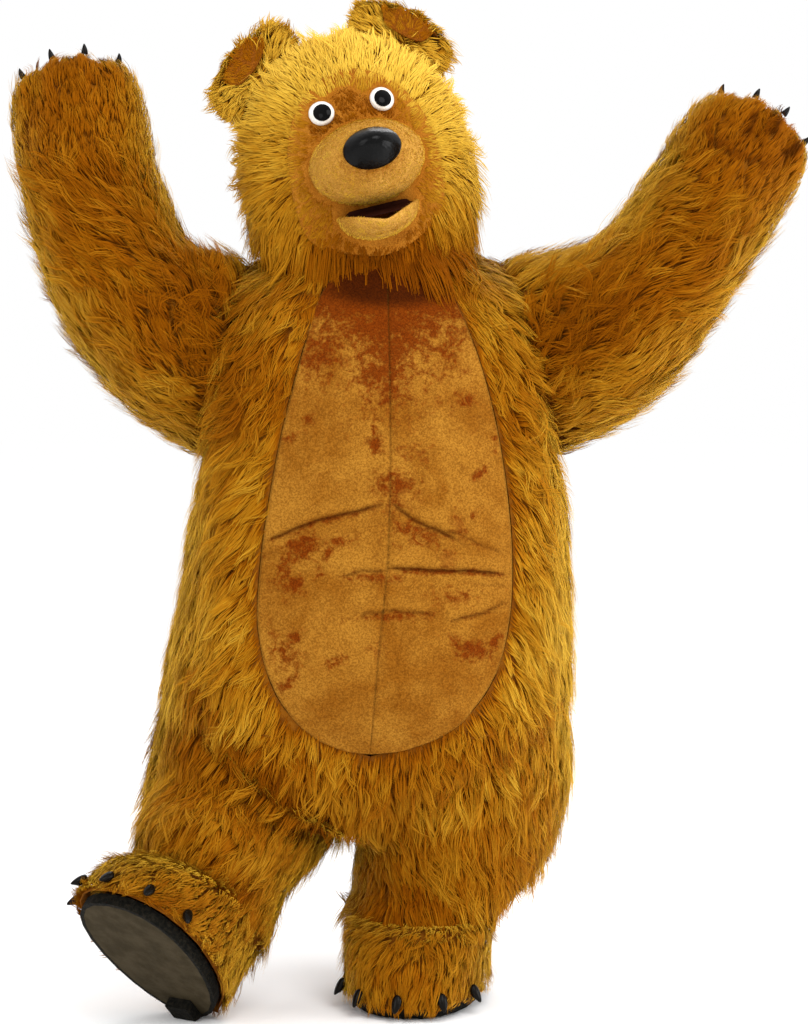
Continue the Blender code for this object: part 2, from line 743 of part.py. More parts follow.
for side, word in ((1, "left"), (-1, "right")):
    add_wall(f"mitt_front_{word}", *mitt_half(side, True), FUR)
    add_wall(f"mitt_back_{word}", *mitt_half(side, False), FUR)
    middle = cuff(side)[0]
    finger_way = (MITT_TIPS[side] - middle).normalized()
    for k, s in enumerate(HAND_CLAW_PLACES):
        tip = mitt_point(side, s, 1.0, True, 0.0)
        beside = [mitt_point(side, s + step, 1.0, True, 0.0) for step in (0.03, -0.03)]
        way = in_plane(finger_way, (beside[0] - beside[1]).normalized())
        bend = (finger_way - way) * HAND_CLAW_BEND
        upright = in_plane(Vector((0.0, 1.0, 0.0)), way)
        add_claw(f"hand_claw_{word}_{k + 1}", tip + way * SEAM_GAP, way, upright, bend, HAND_CLAW,
                 HAND_CLAW_PROFILE)


# --- boots -----------------------------------------------------------------------------------

SOLE_LENGTH = 0.385
SOLE_HALF_WIDTH = 0.124
TOE_WIDENING = 0.016
BINDING_WIDTH = 0.008
BINDING_HEIGHT = 0.024
SOLE_THICKNESS = 0.010
SOLE_RECESS = 0.0005
HEEL_BLOCK = (0.006, 0.062, 0.027, 0.022)     # from, to, half width, height
HEEL_BLOCK_SLANT = 0.014  # how far its back face leans in
ANKLE_FROM_HEEL = 0.130
ANKLE_HEIGHT = 0.168
BOOT_POINTS = 24
BOOT_ROWS = 7
BOOT_PILE = 0.024
BOOT_SINK = 0.8           # share of the pile that the backing sinks by halfway up
BOOT_FOOT_BACKING, BOOT_FOOT_PILE = -0.004, 0.024     # from the sole's outline, outward
# The boots' heels on the sole's underside, the ways to the toes, and the ankles' half widths.
BOOTS = {
    1: (Vector((0.135, 0.118, 0.0255)), Vector((-0.2070, -0.9765, -0.0600)), 0.170),
    -1: (Vector((-0.360, -0.235, 0.0020)), Vector((-0.3900, -0.5800, 0.7150)), 0.155),
}


def boot_frame(side):
    """Matrix of a boot: X from heel to toe, Y across, Z up from the sole's underside."""
    heel, toe_way, _ = BOOTS[side]
    along = toe_way.normalized()
    across = Vector((0.0, 0.0, 1.0)).cross(along).normalized()
    up = along.cross(across)
    turn = Matrix((along, across, up)).transposed().to_4x4()
    return Matrix.Translation(heel) @ turn


def sole_outline(angle, grow):
    """X and Y on the sole's outline; angle 0 is the heel and pi the toe."""
    c, s = math.cos(angle), math.sin(angle)
    half_width = SOLE_HALF_WIDTH - TOE_WIDENING * c + grow
    return (SOLE_LENGTH / 2.0 - (SOLE_LENGTH / 2.0 + grow) * c,
            half_width * math.copysign(abs(s) ** 0.88, s))


def sole_ring(frame, grow, height):
    return [frame @ Vector((*sole_outline(2.0 * math.pi * k / BOOT_POINTS, grow), height))
            for k in range(BOOT_POINTS)]


def ankle_axes(side):
    """Middle and half axes of a boot's top edge, set so that the first points outward."""
    frame = boot_frame(side)
    radius = BOOTS[side][2]
    up = frame.col[2].to_3d()
    outward = in_plane(Vector((side, 0.0, 0.0)), up) * radius
    forward = in_plane(Vector((0.0, -1.0, 0.0)), up)
    forward = in_plane(forward, outward.normalized()) * radius
    return frame @ Vector((ANKLE_FROM_HEEL, 0.0, ANKLE_HEIGHT)), outward, forward


def boot_upper(side):
    frame = boot_frame(side)
    radius = BOOTS[side][2]
    grids = []
    for grow, inset in ((BOOT_FOOT_BACKING, BOOT_PILE), (BOOT_FOOT_PILE, 0.0)):
        grid = []
        for i in range(BOOT_ROWS + 1):
            rise = i / BOOT_ROWS * QUARTER
            height = lerp(BINDING_HEIGHT, ANKLE_HEIGHT, math.sin(rise) ** 1.15)
            share = (1.0 - math.cos(rise)) ** 1.1
            row = []
            for k in range(BOOT_POINTS):
                angle = 2.0 * math.pi * k / BOOT_POINTS
                x, y = sole_outline(angle, grow)
                top_x = ANKLE_FROM_HEEL - (radius - inset) * math.cos(angle)
                top_y = (radius - inset) * math.sin(angle)
                lift = -inset * BOOT_SINK * math.sin(rise * 2.0) if 0 < i < BOOT_ROWS else 0.0
                row.append(frame @ Vector((lerp(x, top_x, share), lerp(y, top_y, share),
                                           height + lift)))
            grid.append(row)
        grids.append(grid)
    return grids


FOOT_CLAW_PROFILE = ((0.0, 0.84), (0.25, 1.0), (0.55, 0.88), (0.82, 0.54), (1.0, 0.0))
FOOT_CLAW_ANGLES = (-56, -28, 0, 28, 56)
FOOT_CLAW = (0.023, 0.0155, 0.0115)           # length, and half height and width at its root
FOOT_CLAW_DROP = 0.023
FOOT_CLAW_HEIGHT = 0.044
FOOT_CLAW_SEARCH = (0.12, -0.05)              # outside and inside the sole's outline

for side, word in ((1, "left"), (-1, "right")):
    frame = boot_frame(side)
    upper = add_wall(f"boot_upper_{word}", *boot_upper(side), FUR, closed=True)
    add_wall(f"sole_binding_{word}",
             [sole_ring(frame, -BINDING_WIDTH, h) for h in (0.0, BINDING_HEIGHT)],
             [sole_ring(frame, 0.0, h) for h in (0.0, BINDING_HEIGHT)], BLACK_BINDING, closed=True)
    plate = -BINDING_WIDTH - SEAM_GAP
    add_solid(f"sole_{word}",
              [sole_ring(frame, plate, h) for h in (SOLE_RECESS, SOLE_RECESS + SOLE_THICKNESS)],
              SOLE_SUEDE)
    start, end, half_width, height = HEEL_BLOCK
    block = []
    for z in (-height, -SEAM_GAP):
        back = start + HEEL_BLOCK_SLANT * (z == -height)
        block.append([frame @ Vector((x, y, z)) for x, y in
                      ((back, -half_width), (end, -half_width), (end, half_width),
                       (back, half_width))])
    add_solid(f"heel_block_{word}", block, BLACK_BINDING)

    skin = surface_of(upper)
    for k, degrees in enumerate(FOOT_CLAW_ANGLES):
        angle = math.pi + math.radians(degrees)
        outside, inside = (frame @ Vector((*sole_outline(angle, grow), FOOT_CLAW_HEIGHT))
                           for grow in FOOT_CLAW_SEARCH)
        hit, normal, _, _ = skin.ray_cast(outside, (inside - outside).normalized())
        up = frame.col[2].to_3d()
        add_claw(f"foot_claw_{word}_{k + 1}", hit + normal * SEAT_GAP, normal, in_plane(up, normal),
                 up * -FOOT_CLAW_DROP, FOOT_CLAW, FOOT_CLAW_PROFILE)


# --- legs ------------------------------------------------------------------------------------

CROTCH_POINTS = 5         # points across the crotch, between the front and back seams
# A leg's sections over the pile: X and height of its outer and its inner edge, Y of its middle,
# half its depth, and how far its front is tipped up, in degrees. The boot's top edge follows.
LEGS = {
    1: (
        #  x out  z out  x in    z in   y mid  half depth tip
        (0.418, 0.500, -0.047, 0.318, 0.000, 0.212, 0),
        (0.405, 0.400, -0.049, 0.275, 0.005, 0.198, 0),
        (0.372, 0.290, -0.050, 0.228, 0.010, 0.186, 0),
    ),
    -1: (
        (-0.466, 0.500, -0.078, 0.318, -0.040, 0.205, 12),
        (-0.472, 0.425, -0.112, 0.290, -0.100, 0.188, 22),
        (-0.484, 0.350, -0.160, 0.262, -0.175, 0.172, 32),
    ),
}


def leg_seam_rings(side):
    """Backing and outer ring of a leg where it meets the body and the other leg."""
    rings = []
    for which in (0, 1):
        front = panels[side, False][which][-1]
        back = panels[side, True][which][-1]
        first, last = front[0], back[0]
        under = []
        for k in range(1, CROTCH_POINTS + 1):
            t = k / (CROTCH_POINTS + 1)
            point = first.lerp(last, t)
            if which:
                point.y = lerp(first.y, last.y, smoothstep(t) * 0.4 + t * 0.6)
                point.z -= PILE * math.sin(math.pi * t) ** 0.5
            under.append(point)
        rings.append(front[::-1] + under + back[:-1])
    return rings


for side, word in ((1, "left"), (-1, "right")):
    base, outer = ([ring] for ring in leg_seam_rings(side))
    count = len(base[0])
    # The seam's first point is at the hip, and the crotch takes the inner part of the ring.
    middle, outward, forward = ankle_axes(side)
    sections = []
    for x_out, z_out, x_in, z_in, y, half_depth, tip in LEGS[side]:
        centre = Vector(((x_out + x_in) / 2.0, y, (z_out + z_in) / 2.0))
        across = Vector(((x_out - x_in) / 2.0, 0.0, (z_out - z_in) / 2.0))
        lift = math.radians(tip)
        depth = Vector((0.0, -math.cos(lift), math.sin(lift))) * half_depth
        sections.append((centre, across, depth))
    sections.append((middle, outward, forward))
    for centre, across, depth in sections:
        for grid, cut in ((base, PILE), (outer, 0.0)):
            a = across * (1.0 - cut / across.length)
            b = depth * (1.0 - cut / depth.length)
            grid.append([centre + a * math.cos(2.0 * math.pi * k / count)
                         + b * math.sin(2.0 * math.pi * k / count) for k in range(count)])
    add_wall(f"leg_{word}", fill_rows(base, LIMB_STEPS), fill_rows(outer, LIMB_STEPS), FUR,
             closed=True)


# --- head ------------------------------------------------------------------------------------

HEAD_CENTRE = Vector((-0.037, -0.015, 1.708))
HEAD_YAW = math.radians(7)
HEAD_ROLL = 14            # degrees that the head leans toward the wearer's right
HEAD_STEPS = 2
HEAD_COLUMNS = 12         # columns of each half, closer together in front

# The head backing's sections from the crown down, about its own upright axis: height, half
# width, the depth of the front and of the back, and the lean and forward tip in degrees.
HEAD = (
    #  height half   front   back   roll tip
    (0.246, 0.000, 0.000, 0.000, HEAD_ROLL, 0),
    (0.237, 0.062, -0.055, 0.062, HEAD_ROLL, 0),
    (0.205, 0.118, -0.112, 0.118, HEAD_ROLL, 0),
    (0.148, 0.168, -0.160, 0.166, HEAD_ROLL, 0),
    (0.075, 0.202, -0.190, 0.200, HEAD_ROLL, 0),
    (-0.005, 0.214, -0.202, 0.212, HEAD_ROLL, 2),
    (-0.080, 0.216, -0.196, 0.206, 11, 7),
    (-0.122, 0.208, -0.182, 0.190, 6, 12),
)
# The short-piled face, as an ellipse in the head's own X and height.
FACE_HALF_WIDTH, FACE_HALF_HEIGHT, FACE_HEIGHT = 0.150, 0.195, -0.005
FACE_EDGE = 0.92          # share of the ellipse where the fur begins to grow longer
FACE_BLEND = 0.060


def head_frame(roll=HEAD_ROLL, tip=0.0):
    """Matrix of the head: X to the wearer's left, Y to the back, Z to the crown."""
    lean = Matrix.Rotation(math.radians(-roll), 4, "Y")
    return (Matrix.Translation(HEAD_CENTRE) @ lean @ Matrix.Rotation(math.radians(tip), 4, "X")
            @ Matrix.Rotation(HEAD_YAW, 4, "Z"))


HEAD_FRAME = head_frame()
HEAD_FROM_WORLD = HEAD_FRAME.inverted()


def head_angles():
    """phi of the head's columns, all the way round from the front."""
    count = 2 * HEAD_COLUMNS
    turns = [2.0 * math.pi * k / count for k in range(count)]
    return [turn - 0.35 * math.sin(turn) for turn in turns]


def head_rings():
    rings = []
    for height, half, front, back, roll, tip in HEAD:
        frame = head_frame(roll, tip)
        ring = []
        for phi in head_angles():
            s, c = math.sin(phi), math.cos(phi)
            depth = front * c if c >= 0.0 else -back * c
            ring.append(frame @ Vector((half * s, depth, height)))
        rings.append(ring)
    rings.append([torso_point(phi + HEAD_YAW, 0.0) for phi in head_angles()])
    return fill_rows(rings, HEAD_STEPS)


def head_pile(point):
    """Fur is short around the face and long elsewhere on the head."""
    spot = HEAD_FROM_WORLD @ point
    if spot.y > 0.0:
        return PILE
    out = math.hypot(spot.x / FACE_HALF_WIDTH, (spot.z - FACE_HEIGHT) / FACE_HALF_HEIGHT)
    return lerp(PLUSH, PILE, smoothstep((out - FACE_EDGE) * FACE_HALF_WIDTH / FACE_BLEND))


head_base = head_rings()
head_ways = grid_normals(head_base, HEAD_CENTRE)
head_outer = []
for i, (row, ways) in enumerate(zip(head_base, head_ways)):
    line = []
    for point, way in zip(row, ways):
        height = head_pile(point)
        room = (point - NECK_CENTRE).dot(NECK_NORMAL)
        way = keep_behind(way, height, -NECK_NORMAL, 0.0 if i == len(head_base) - 1 else room)
        line.append(point + way * height)
    head_outer.append(line)


def head_part(grid, first, last):
    """Columns of a head grid from first to last, counted from the front."""
    return [[row[k % len(row)] for k in range(first, last + 1)] for row in grid]


add_wall("head_left", head_part(head_base, 0, HEAD_COLUMNS),
         head_part(head_outer, 0, HEAD_COLUMNS), FUR)
add_wall("head_right", head_part(head_base, -HEAD_COLUMNS, 0),
         head_part(head_outer, -HEAD_COLUMNS, 0), FUR)

def rounded_patch(grid, share):
    """A grid's own points drawn in at its corners, so that its outline becomes round."""
    last_row, last_column = len(grid) - 1, len(grid[0]) - 1
    out = []
    for i in range(last_row + 1):
        row = []
        for j in range(last_column + 1):
            u, v = 2.0 * j / last_column - 1.0, 2.0 * i / last_row - 1.0
            column = (u * math.sqrt(1.0 - share * v * v) + 1.0) / 2.0 * last_column
            line = (v * math.sqrt(1.0 - share * u * u) + 1.0) / 2.0 * last_row
            a, b = min(int(line), last_row - 1), min(int(column), last_column - 1)
            upper = grid[a][b].lerp(grid[a][b + 1], column - b)
            lower = grid[a + 1][b].lerp(grid[a + 1][b + 1], column - b)
            row.append(upper.lerp(lower, line - a))
        out.append(row)
    return out


# The face patch lies on the trimmed fur, and is made from the head's points.
FACE_COLUMNS = 4
FACE_ROWS = (5, 16)
PATCH_ROUNDING = 0.45     # 0.5 makes an ellipse, 0 a square
face_under = rounded_patch(head_part(head_outer, -FACE_COLUMNS, FACE_COLUMNS)[slice(*FACE_ROWS)],
                           PATCH_ROUNDING)
face_ways = rounded_patch(head_part(head_ways, -FACE_COLUMNS, FACE_COLUMNS)[slice(*FACE_ROWS)],
                          PATCH_ROUNDING)
head_skin = ring_surface(head_outer)
face_base = [[seat(head_skin, p, p - w, PATCH_SEAT_GAP) for p, w in zip(*pair)]
             for pair in zip(face_under, face_ways)]
face_outer = [[p + w * PLUSH for p, w in zip(*pair)] for pair in zip(face_base, face_ways)]
face = add_wall("face_patch", face_base, face_outer, MASK_PLUSH)
face_skin = surface_of(face)


def own(x, depth, height):
    """A point given in the head's own frame; depth grows toward the front."""
    return HEAD_FRAME @ Vector((x, -depth, height))


def on_face(x, height, gap=LONG_SEAT_GAP):
    """A point just off the face's surface, straight in front of x and height."""
    return seat(face_skin, own(x, RAY_START, height), own(x, 0.0, height), gap)


# --- muzzle, nose, jaw and mouth -------------------------------------------------------------

MUZZLE_HALF_WIDTH, MUZZLE_HALF_HEIGHT = 0.118, 0.083
MUZZLE_HEIGHT = -0.008
MUZZLE_TIP = (0.0, 0.352, 0.022)              # own x, depth and height of the muzzle's pole
MUZZLE_WALL = 0.008                           # foam-backed plush
MUZZLE_POINTS, MUZZLE_ROWS = 20, 6
NOSE_ROWS = 2                                 # rows of the muzzle that the nose covers
NOSE_RIM, NOSE_BULGE = 0.006, 0.024


def dome(points, rows, ring, tip, whole=True):
    """Grid from a ring on the face to a tip, bulging as a quarter round does."""
    grid = []
    for i in range(rows + 1):
        rise = i / rows * QUARTER
        line = []
        for k in range(points if whole else points + 1):
            start = ring(k)
            end = tip
            way_in = 1.0 - math.cos(rise)
            own_start = HEAD_FROM_WORLD @ start
            line.append(own(lerp(own_start.x, end[0], way_in),
                            lerp(-own_start.y, end[1], math.sin(rise)),
                            lerp(own_start.z, end[2], way_in)))
        grid.append(line)
    return grid


def muzzle_ring(inset):
    def ring(k):
        angle = 2.0 * math.pi * k / MUZZLE_POINTS
        return on_face((MUZZLE_HALF_WIDTH - inset) * math.cos(angle),
                       MUZZLE_HEIGHT + (MUZZLE_HALF_HEIGHT - inset) * math.sin(angle))
    return ring


tip_x, tip_depth, tip_height = MUZZLE_TIP
muzzle_outer = dome(MUZZLE_POINTS, MUZZLE_ROWS, muzzle_ring(0.0), MUZZLE_TIP)
muzzle_base = dome(MUZZLE_POINTS, MUZZLE_ROWS, muzzle_ring(MUZZLE_WALL),
                   (tip_x, tip_depth - MUZZLE_WALL, tip_height))
add_wall("muzzle", muzzle_base, muzzle_outer, PALE_PLUSH, closed=True)

# The nose is made from the muzzle's points around its tip, moved out.
forward = (HEAD_FRAME.to_3x3() @ Vector((0.0, -1.0, 0.0))).normalized()
nose_under = muzzle_outer[MUZZLE_ROWS - NOSE_ROWS:]
nose_base = [[p + forward * SEAT_GAP for p in row] for row in nose_under]
nose_outer = []
for i, row in enumerate(nose_under):
    share = i / NOSE_ROWS
    bulge = NOSE_RIM + NOSE_BULGE * math.sin(share * QUARTER)
    nose_outer.append([p + forward * bulge for p in row])
add_wall("nose", nose_base, nose_outer, BLACK_GLOSS, closed=True)

JAW_HALF_WIDTH, JAW_DROP = 0.086, 0.060
JAW_HEIGHT = -0.100
JAW_TIP = (0.0, 0.300, -0.130)
JAW_WALL = 0.010
JAW_POINTS, JAW_ROWS = 10, 5


def jaw_ring(inset):
    def ring(k):
        angle = math.pi + math.pi * k / JAW_POINTS
        return on_face((JAW_HALF_WIDTH - inset) * math.cos(angle),
                       JAW_HEIGHT + (JAW_DROP - inset) * math.sin(angle))
    return ring


jaw_outer = dome(JAW_POINTS, JAW_ROWS, jaw_ring(0.0), JAW_TIP, whole=False)
tip_x, tip_depth, tip_height = JAW_TIP
jaw_base = dome(JAW_POINTS, JAW_ROWS, jaw_ring(JAW_WALL),
                (tip_x, tip_depth - JAW_WALL, tip_height), whole=False)
add_wall("lower_jaw", jaw_base, jaw_outer, PALE_PLUSH)

# The mouth's dark lining: up the face behind the opening, then forward inside the jaw.
MOUTH_THICKNESS = 0.002
MOUTH_BACK = ((-0.0935, 0.060), (-0.1000, 0.066))     # heights on the face, and half widths
MOUTH_COLUMNS = 6
MOUTH_CLEARANCE = 0.0025
MOUTH_SINK = 0.004        # how far the lining lies under the jaw's rim
mouth_low, mouth_high = [], []
for height, half_width in MOUTH_BACK:
    low = [on_face(half_width * (2.0 * j / MOUTH_COLUMNS - 1.0), height) for j in
           range(MOUTH_COLUMNS + 1)]
    mouth_low.append(low)
    mouth_high.append([p + forward * MOUTH_THICKNESS for p in low])
for i in range(1, JAW_ROWS - 1):
    left = HEAD_FROM_WORLD @ jaw_base[i][0]
    right = HEAD_FROM_WORLD @ jaw_base[i][-1]
    low, high = [], []
    for j in range(MOUTH_COLUMNS + 1):
        x = lerp(left.x + MOUTH_CLEARANCE, right.x - MOUTH_CLEARANCE, j / MOUTH_COLUMNS)
        low.append(own(x, -left.y, left.z - MOUTH_THICKNESS - MOUTH_SINK))
        high.append(own(x, -left.y, left.z - MOUTH_SINK))
    mouth_low.append(low)
    mouth_high.append(high)
add_wall("mouth_lining", mouth_low, mouth_high, MOUTH_DARK)


# --- eyes ------------------------------------------------------------------------------------

# The eyes' own x and height, and how far off the face's facets they are seated.
EYE_PLACES = {1: (0.062, 0.108, 0.0014), -1: (-0.062, 0.108, 0.0021)}
EYE_RADIUS, EYE_RIM, EYE_BULGE = 0.026, 0.002, 0.017
EYE_POINTS, EYE_ROWS, PUPIL_ROWS = 12, 4, 2
PUPIL_THICKNESS = 0.0015

for side, word in ((1, "left"), (-1, "right")):
    x, height, gap = EYE_PLACES[side]
    back, front = [], []
    for i in range(EYE_ROWS + 1):
        rise = i / EYE_ROWS * QUARTER
        reach = EYE_RADIUS * math.cos(rise) if i < EYE_ROWS else 0.0
        turns = [2.0 * math.pi * k / EYE_POINTS for k in range(EYE_POINTS)]
        back_row = [on_face(x + reach * math.cos(a), height + reach * math.sin(a), gap)
                    for a in turns]
        back.append(back_row)
        front.append([p + forward * (EYE_RIM + EYE_BULGE * math.sin(rise)) for p in back_row])
    add_wall(f"eye_{word}", back, front, EYE_WHITE, closed=True)
    under = front[EYE_ROWS - PUPIL_ROWS:]
    add_wall(f"pupil_{word}", [[p + forward * SEAM_GAP for p in row] for row in under],
             [[p + forward * (SEAM_GAP + PUPIL_THICKNESS) for p in row] for row in under],
             BLACK_GLOSS, closed=True)


# --- ears ------------------------------------------------------------------------------------

EAR_LEAN = math.radians(36)                   # from the head's upright, outward
EAR_ROOT = (0.110, 0.170)                     # own x and height
EAR_LENGTH = 0.145
EAR_HALF_WIDTH = 0.094
EAR_COLUMNS, EAR_ROWS = 8, 7
EAR_FOOT_WIDTH = 0.86     # share of the ear's width at its foot
EAR_EDGE = 0.010          # half the thickness of an ear's edge
EAR_FRONT_FUR = 0.012     # how far the front's fur stands over the edge
EAR_HOLLOW = 0.020        # how deep the front is dished
EAR_BACK = 0.035          # how far the back bulges over the edge
EAR_SEAT_GAP = 0.006      # an ear's broad foot bridges the head's curve
EAR_PAD_ROWS = (1, 6)
EAR_PAD_COLUMNS = (2, 7)
EAR_PAD_PILE = 0.007


def ear_point(side, s, t, in_front):
    """Point of an ear: s across, t from its root to its top."""
    lean = EAR_LEAN * side
    up = Vector((math.sin(lean), 0.0, math.cos(lean)))
    across = Vector((math.cos(lean), 0.0, -math.sin(lean)))
    belly = lerp(EAR_FOOT_WIDTH, 1.0, math.sin(math.pi * t))
    half = EAR_HALF_WIDTH * belly * (1.0 - t ** 2.6) ** 0.42
    round_off = math.sqrt(max(1.0 - s * s, 0.0)) * (1.0 - t ** 3) ** 0.5
    if in_front:
        dish = EAR_HOLLOW * (1.0 - s * s) * math.sin(math.pi * t)
        depth = -EAR_EDGE - (EAR_FRONT_FUR - dish) * round_off
    else:
        depth = EAR_EDGE + EAR_BACK * round_off
    place = Vector((EAR_ROOT[0] * side, 0.0, EAR_ROOT[1])) + up * (EAR_LENGTH * t)
    return HEAD_FRAME @ (place + across * (half * s) + Vector((0.0, depth, 0.0)))


for side, word in ((1, "left"), (-1, "right")):
    grids = []
    for in_front in (True, False):
        grid = []
        for i in range(EAR_ROWS + 1):
            row = [ear_point(side, 2.0 * j / EAR_COLUMNS - 1.0, i / EAR_ROWS, in_front)
                   for j in range(EAR_COLUMNS + 1)]
            if i == 0:
                lifts = [seat(head_skin, p, HEAD_CENTRE, EAR_SEAT_GAP) - p for p in row]
            kept = 1.0 - (i / EAR_ROWS) ** 2
            grid.append([p + lift * kept for p, lift in zip(row, lifts)])
        grids.append(grid)
    add_wall(f"ear_{word}", *grids, FUR)
    pad = rounded_patch([row[slice(*EAR_PAD_COLUMNS)] for row in grids[0][slice(*EAR_PAD_ROWS)]],
                        PATCH_ROUNDING)
    add_wall(f"ear_pad_{word}", *([[p + forward * lift for p in row] for row in pad]
                                  for lift in (SEAT_GAP, EAR_PAD_PILE)), EAR_PLUSH)
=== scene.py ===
import math
from collections import namedtuple

import bmesh
import bpy
import numpy as np
from mathutils import Matrix, Vector, noise
from mathutils.bvhtree import BVHTree
from mathutils.kdtree import KDTree


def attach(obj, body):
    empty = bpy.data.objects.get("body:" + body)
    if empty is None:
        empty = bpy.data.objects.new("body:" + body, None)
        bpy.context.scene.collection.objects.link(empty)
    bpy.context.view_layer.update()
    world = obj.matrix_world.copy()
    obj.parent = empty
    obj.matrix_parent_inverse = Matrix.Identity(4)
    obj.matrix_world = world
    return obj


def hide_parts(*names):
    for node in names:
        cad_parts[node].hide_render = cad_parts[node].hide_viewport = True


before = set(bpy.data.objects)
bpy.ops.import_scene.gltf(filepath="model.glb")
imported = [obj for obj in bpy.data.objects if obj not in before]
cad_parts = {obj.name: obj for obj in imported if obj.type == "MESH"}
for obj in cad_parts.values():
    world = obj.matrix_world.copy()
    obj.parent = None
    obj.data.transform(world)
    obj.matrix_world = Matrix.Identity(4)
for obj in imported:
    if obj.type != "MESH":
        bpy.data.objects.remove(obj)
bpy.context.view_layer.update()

# Bear mascot costume: long-pile fur over cloth, a crushed plush belly, a plush face on a foam
# head, padded boots and mitts. Metres; X to the wearer's left, Y to the back, Z up; the hold
# point between the wearer's shoulders is the origin, and heights above the floor are given
# with FLOOR added.

FLOOR = -1.50
SIDES = ((1, "left"), (-1, "right"))
WHITE = (1.0, 1.0, 1.0, 1.0)
rng = np.random.default_rng(20)
noise.seed_set(20)         # without a seed noise vectors change from run to run

bpy.ops.object.select_all(action="DESELECT")


# --- camera, floor and light -----------------------------------------------------------------

CAMERA_PLACE = (0.062, -5.5, -0.15)
CAMERA_AIM = (0.062, 0.0, -0.499)
FRAME_HEIGHT = 36.0        # mm
FOCAL_LENGTH = 93.5        # mm
LIGHTS = (
    # name         place             aim               size  power
    ("key_light", (1.6, -3.4, 2.9), (0.0, 0.0, -0.1), 3.2, 150.0),
    ("fill_light", (-3.0, -3.4, 1.0), (0.0, 0.0, -0.5), 2.6, 50.0),
    ("back_light", (0.6, 3.2, 2.6), (0.0, 0.0, -0.2), 2.5, 70.0),
    ("side_light", (3.2, -0.9, -0.3), (0.3, 0.0, 0.0), 2.0, 45.0),
)
FLOOR_SIZE = 60.0


def add_aimed(name, data, place, aim):
    """A camera or a light at one place, turned toward another."""
    made = bpy.data.objects.new(name, data)
    bpy.context.collection.objects.link(made)
    made.location = place
    made.rotation_euler = (Vector(aim) - Vector(place)).to_track_quat("-Z", "Y").to_euler()
    return made


def add_camera():
    data = bpy.data.cameras.new("camera")
    data.sensor_fit = "VERTICAL"
    data.sensor_height = FRAME_HEIGHT
    data.lens = FOCAL_LENGTH
    bpy.context.scene.camera = add_aimed("camera", data, CAMERA_PLACE, CAMERA_AIM)


def add_light(name, place, aim, size, power):
    data = bpy.data.lights.new(name, "AREA")
    data.shape = "DISK"
    data.size = size
    data.energy = power
    add_aimed(name, data, place, aim)


def add_floor():
    """A plain pale floor that the costume stands over."""
    bpy.ops.mesh.primitive_plane_add(size=FLOOR_SIZE, location=(0.0, 0.0, FLOOR))
    floor = bpy.context.object
    floor.name = "floor"
    bpy.ops.object.transform_apply(location=True, rotation=True, scale=True)
    pale = bpy.data.materials.new("pale_floor")
    pale.use_nodes = True
    shader = pale.node_tree.nodes["Principled BSDF"]
    shader.inputs["Base Color"].default_value = WHITE
    shader.inputs["Roughness"].default_value = 1.0
    shader.inputs["Specular IOR Level"].default_value = 0.0
    floor.data.materials.append(pale)
    bpy.ops.object.select_all(action="DESELECT")


def add_world():
    world = bpy.data.worlds.new("studio")
    bpy.context.scene.world = world
    world.use_nodes = True
    sky = world.node_tree.nodes["Background"]
    sky.inputs["Color"].default_value = WHITE
    sky.inputs["Strength"].default_value = 1.0
    bpy.context.scene.view_settings.view_transform = "Standard"


add_camera()
add_floor()
for light in LIGHTS:
    add_light(*light)
add_world()


# --- materials -------------------------------------------------------------------------------

class Finish:
    """A material under construction: its shader, and short ways to add nodes to it."""

    def __init__(self, name, roughness, specular):
        self.material = bpy.data.materials.new(name)
        self.material.use_nodes = True
        self.tree = self.material.node_tree
        self.shader = self.tree.nodes["Principled BSDF"]
        self.tune(Roughness=roughness, Specular_IOR_Level=specular)

    def tune(self, **values):
        """Set constants on the shader's own sockets."""
        for key, value in values.items():
            self.shader.inputs[key.replace("_", " ")].default_value = value

    def feed(self, socket, value):
        """Link a socket to another node's output, or set its constant."""
        if hasattr(value, "is_output"):
            self.tree.links.new(value, socket)
        else:
            socket.default_value = value

    def node(self, kind, settings=None, **inputs):
        made = self.tree.nodes.new(kind)
        for key, value in (settings or {}).items():
            setattr(made, key, value)
        for key, value in inputs.items():
            self.feed(made.inputs[key.replace("_", " ")], value)
        return made

    def attribute(self, name):
        return self.node("ShaderNodeAttribute", {"attribute_name": name}).outputs["Fac"]

    def grain(self, scale, detail=4.0, roughness=0.6, vector=None, distortion=0.0):
        place = vector or self.node("ShaderNodeTexCoord").outputs["Object"]
        return self.node("ShaderNodeTexNoise", Vector=place, Scale=scale, Detail=detail,
                         Roughness=roughness, Distortion=distortion).outputs["Fac"]

    def blend(self, share, first, second, kind="MIX"):
        """Two colours, each a node's output or red, green and blue, mixed by share."""
        mix = self.node("ShaderNodeMix", {"data_type": "RGBA", "blend_type": kind})
        self.feed(mix.inputs[0], share)
        for socket, value in ((mix.inputs[6], first), (mix.inputs[7], second)):
            self.feed(socket, (*value, 1.0) if isinstance(value, tuple) else value)
        return mix.outputs[2]

    def spread(self, value, low, high, to_low=0.0, to_high=1.0):
        """The value stretched smoothly from low..high to to_low..to_high."""
        return self.node("ShaderNodeMapRange", {"clamp": True, "interpolation_type": "SMOOTHSTEP"},
                         Value=value, From_Min=low, From_Max=high, To_Min=to_low,
                         To_Max=to_high).outputs["Result"]

    def combine(self, kind, first, second):
        made = self.node("ShaderNodeMath", {"operation": kind})
        self.feed(made.inputs[0], first)
        self.feed(made.inputs[1], second)
        return made.outputs["Value"]

    def colour(self, output):
        self.tree.links.new(output, self.shader.inputs["Base Color"])

    def rough(self, output):
        self.tree.links.new(output, self.shader.inputs["Roughness"])

    def relief(self, height, strength, distance):
        bump = self.node("ShaderNodeBump", Height=height, Strength=strength, Distance=distance)
        self.tree.links.new(bump.outputs["Normal"], self.shader.inputs["Normal"])


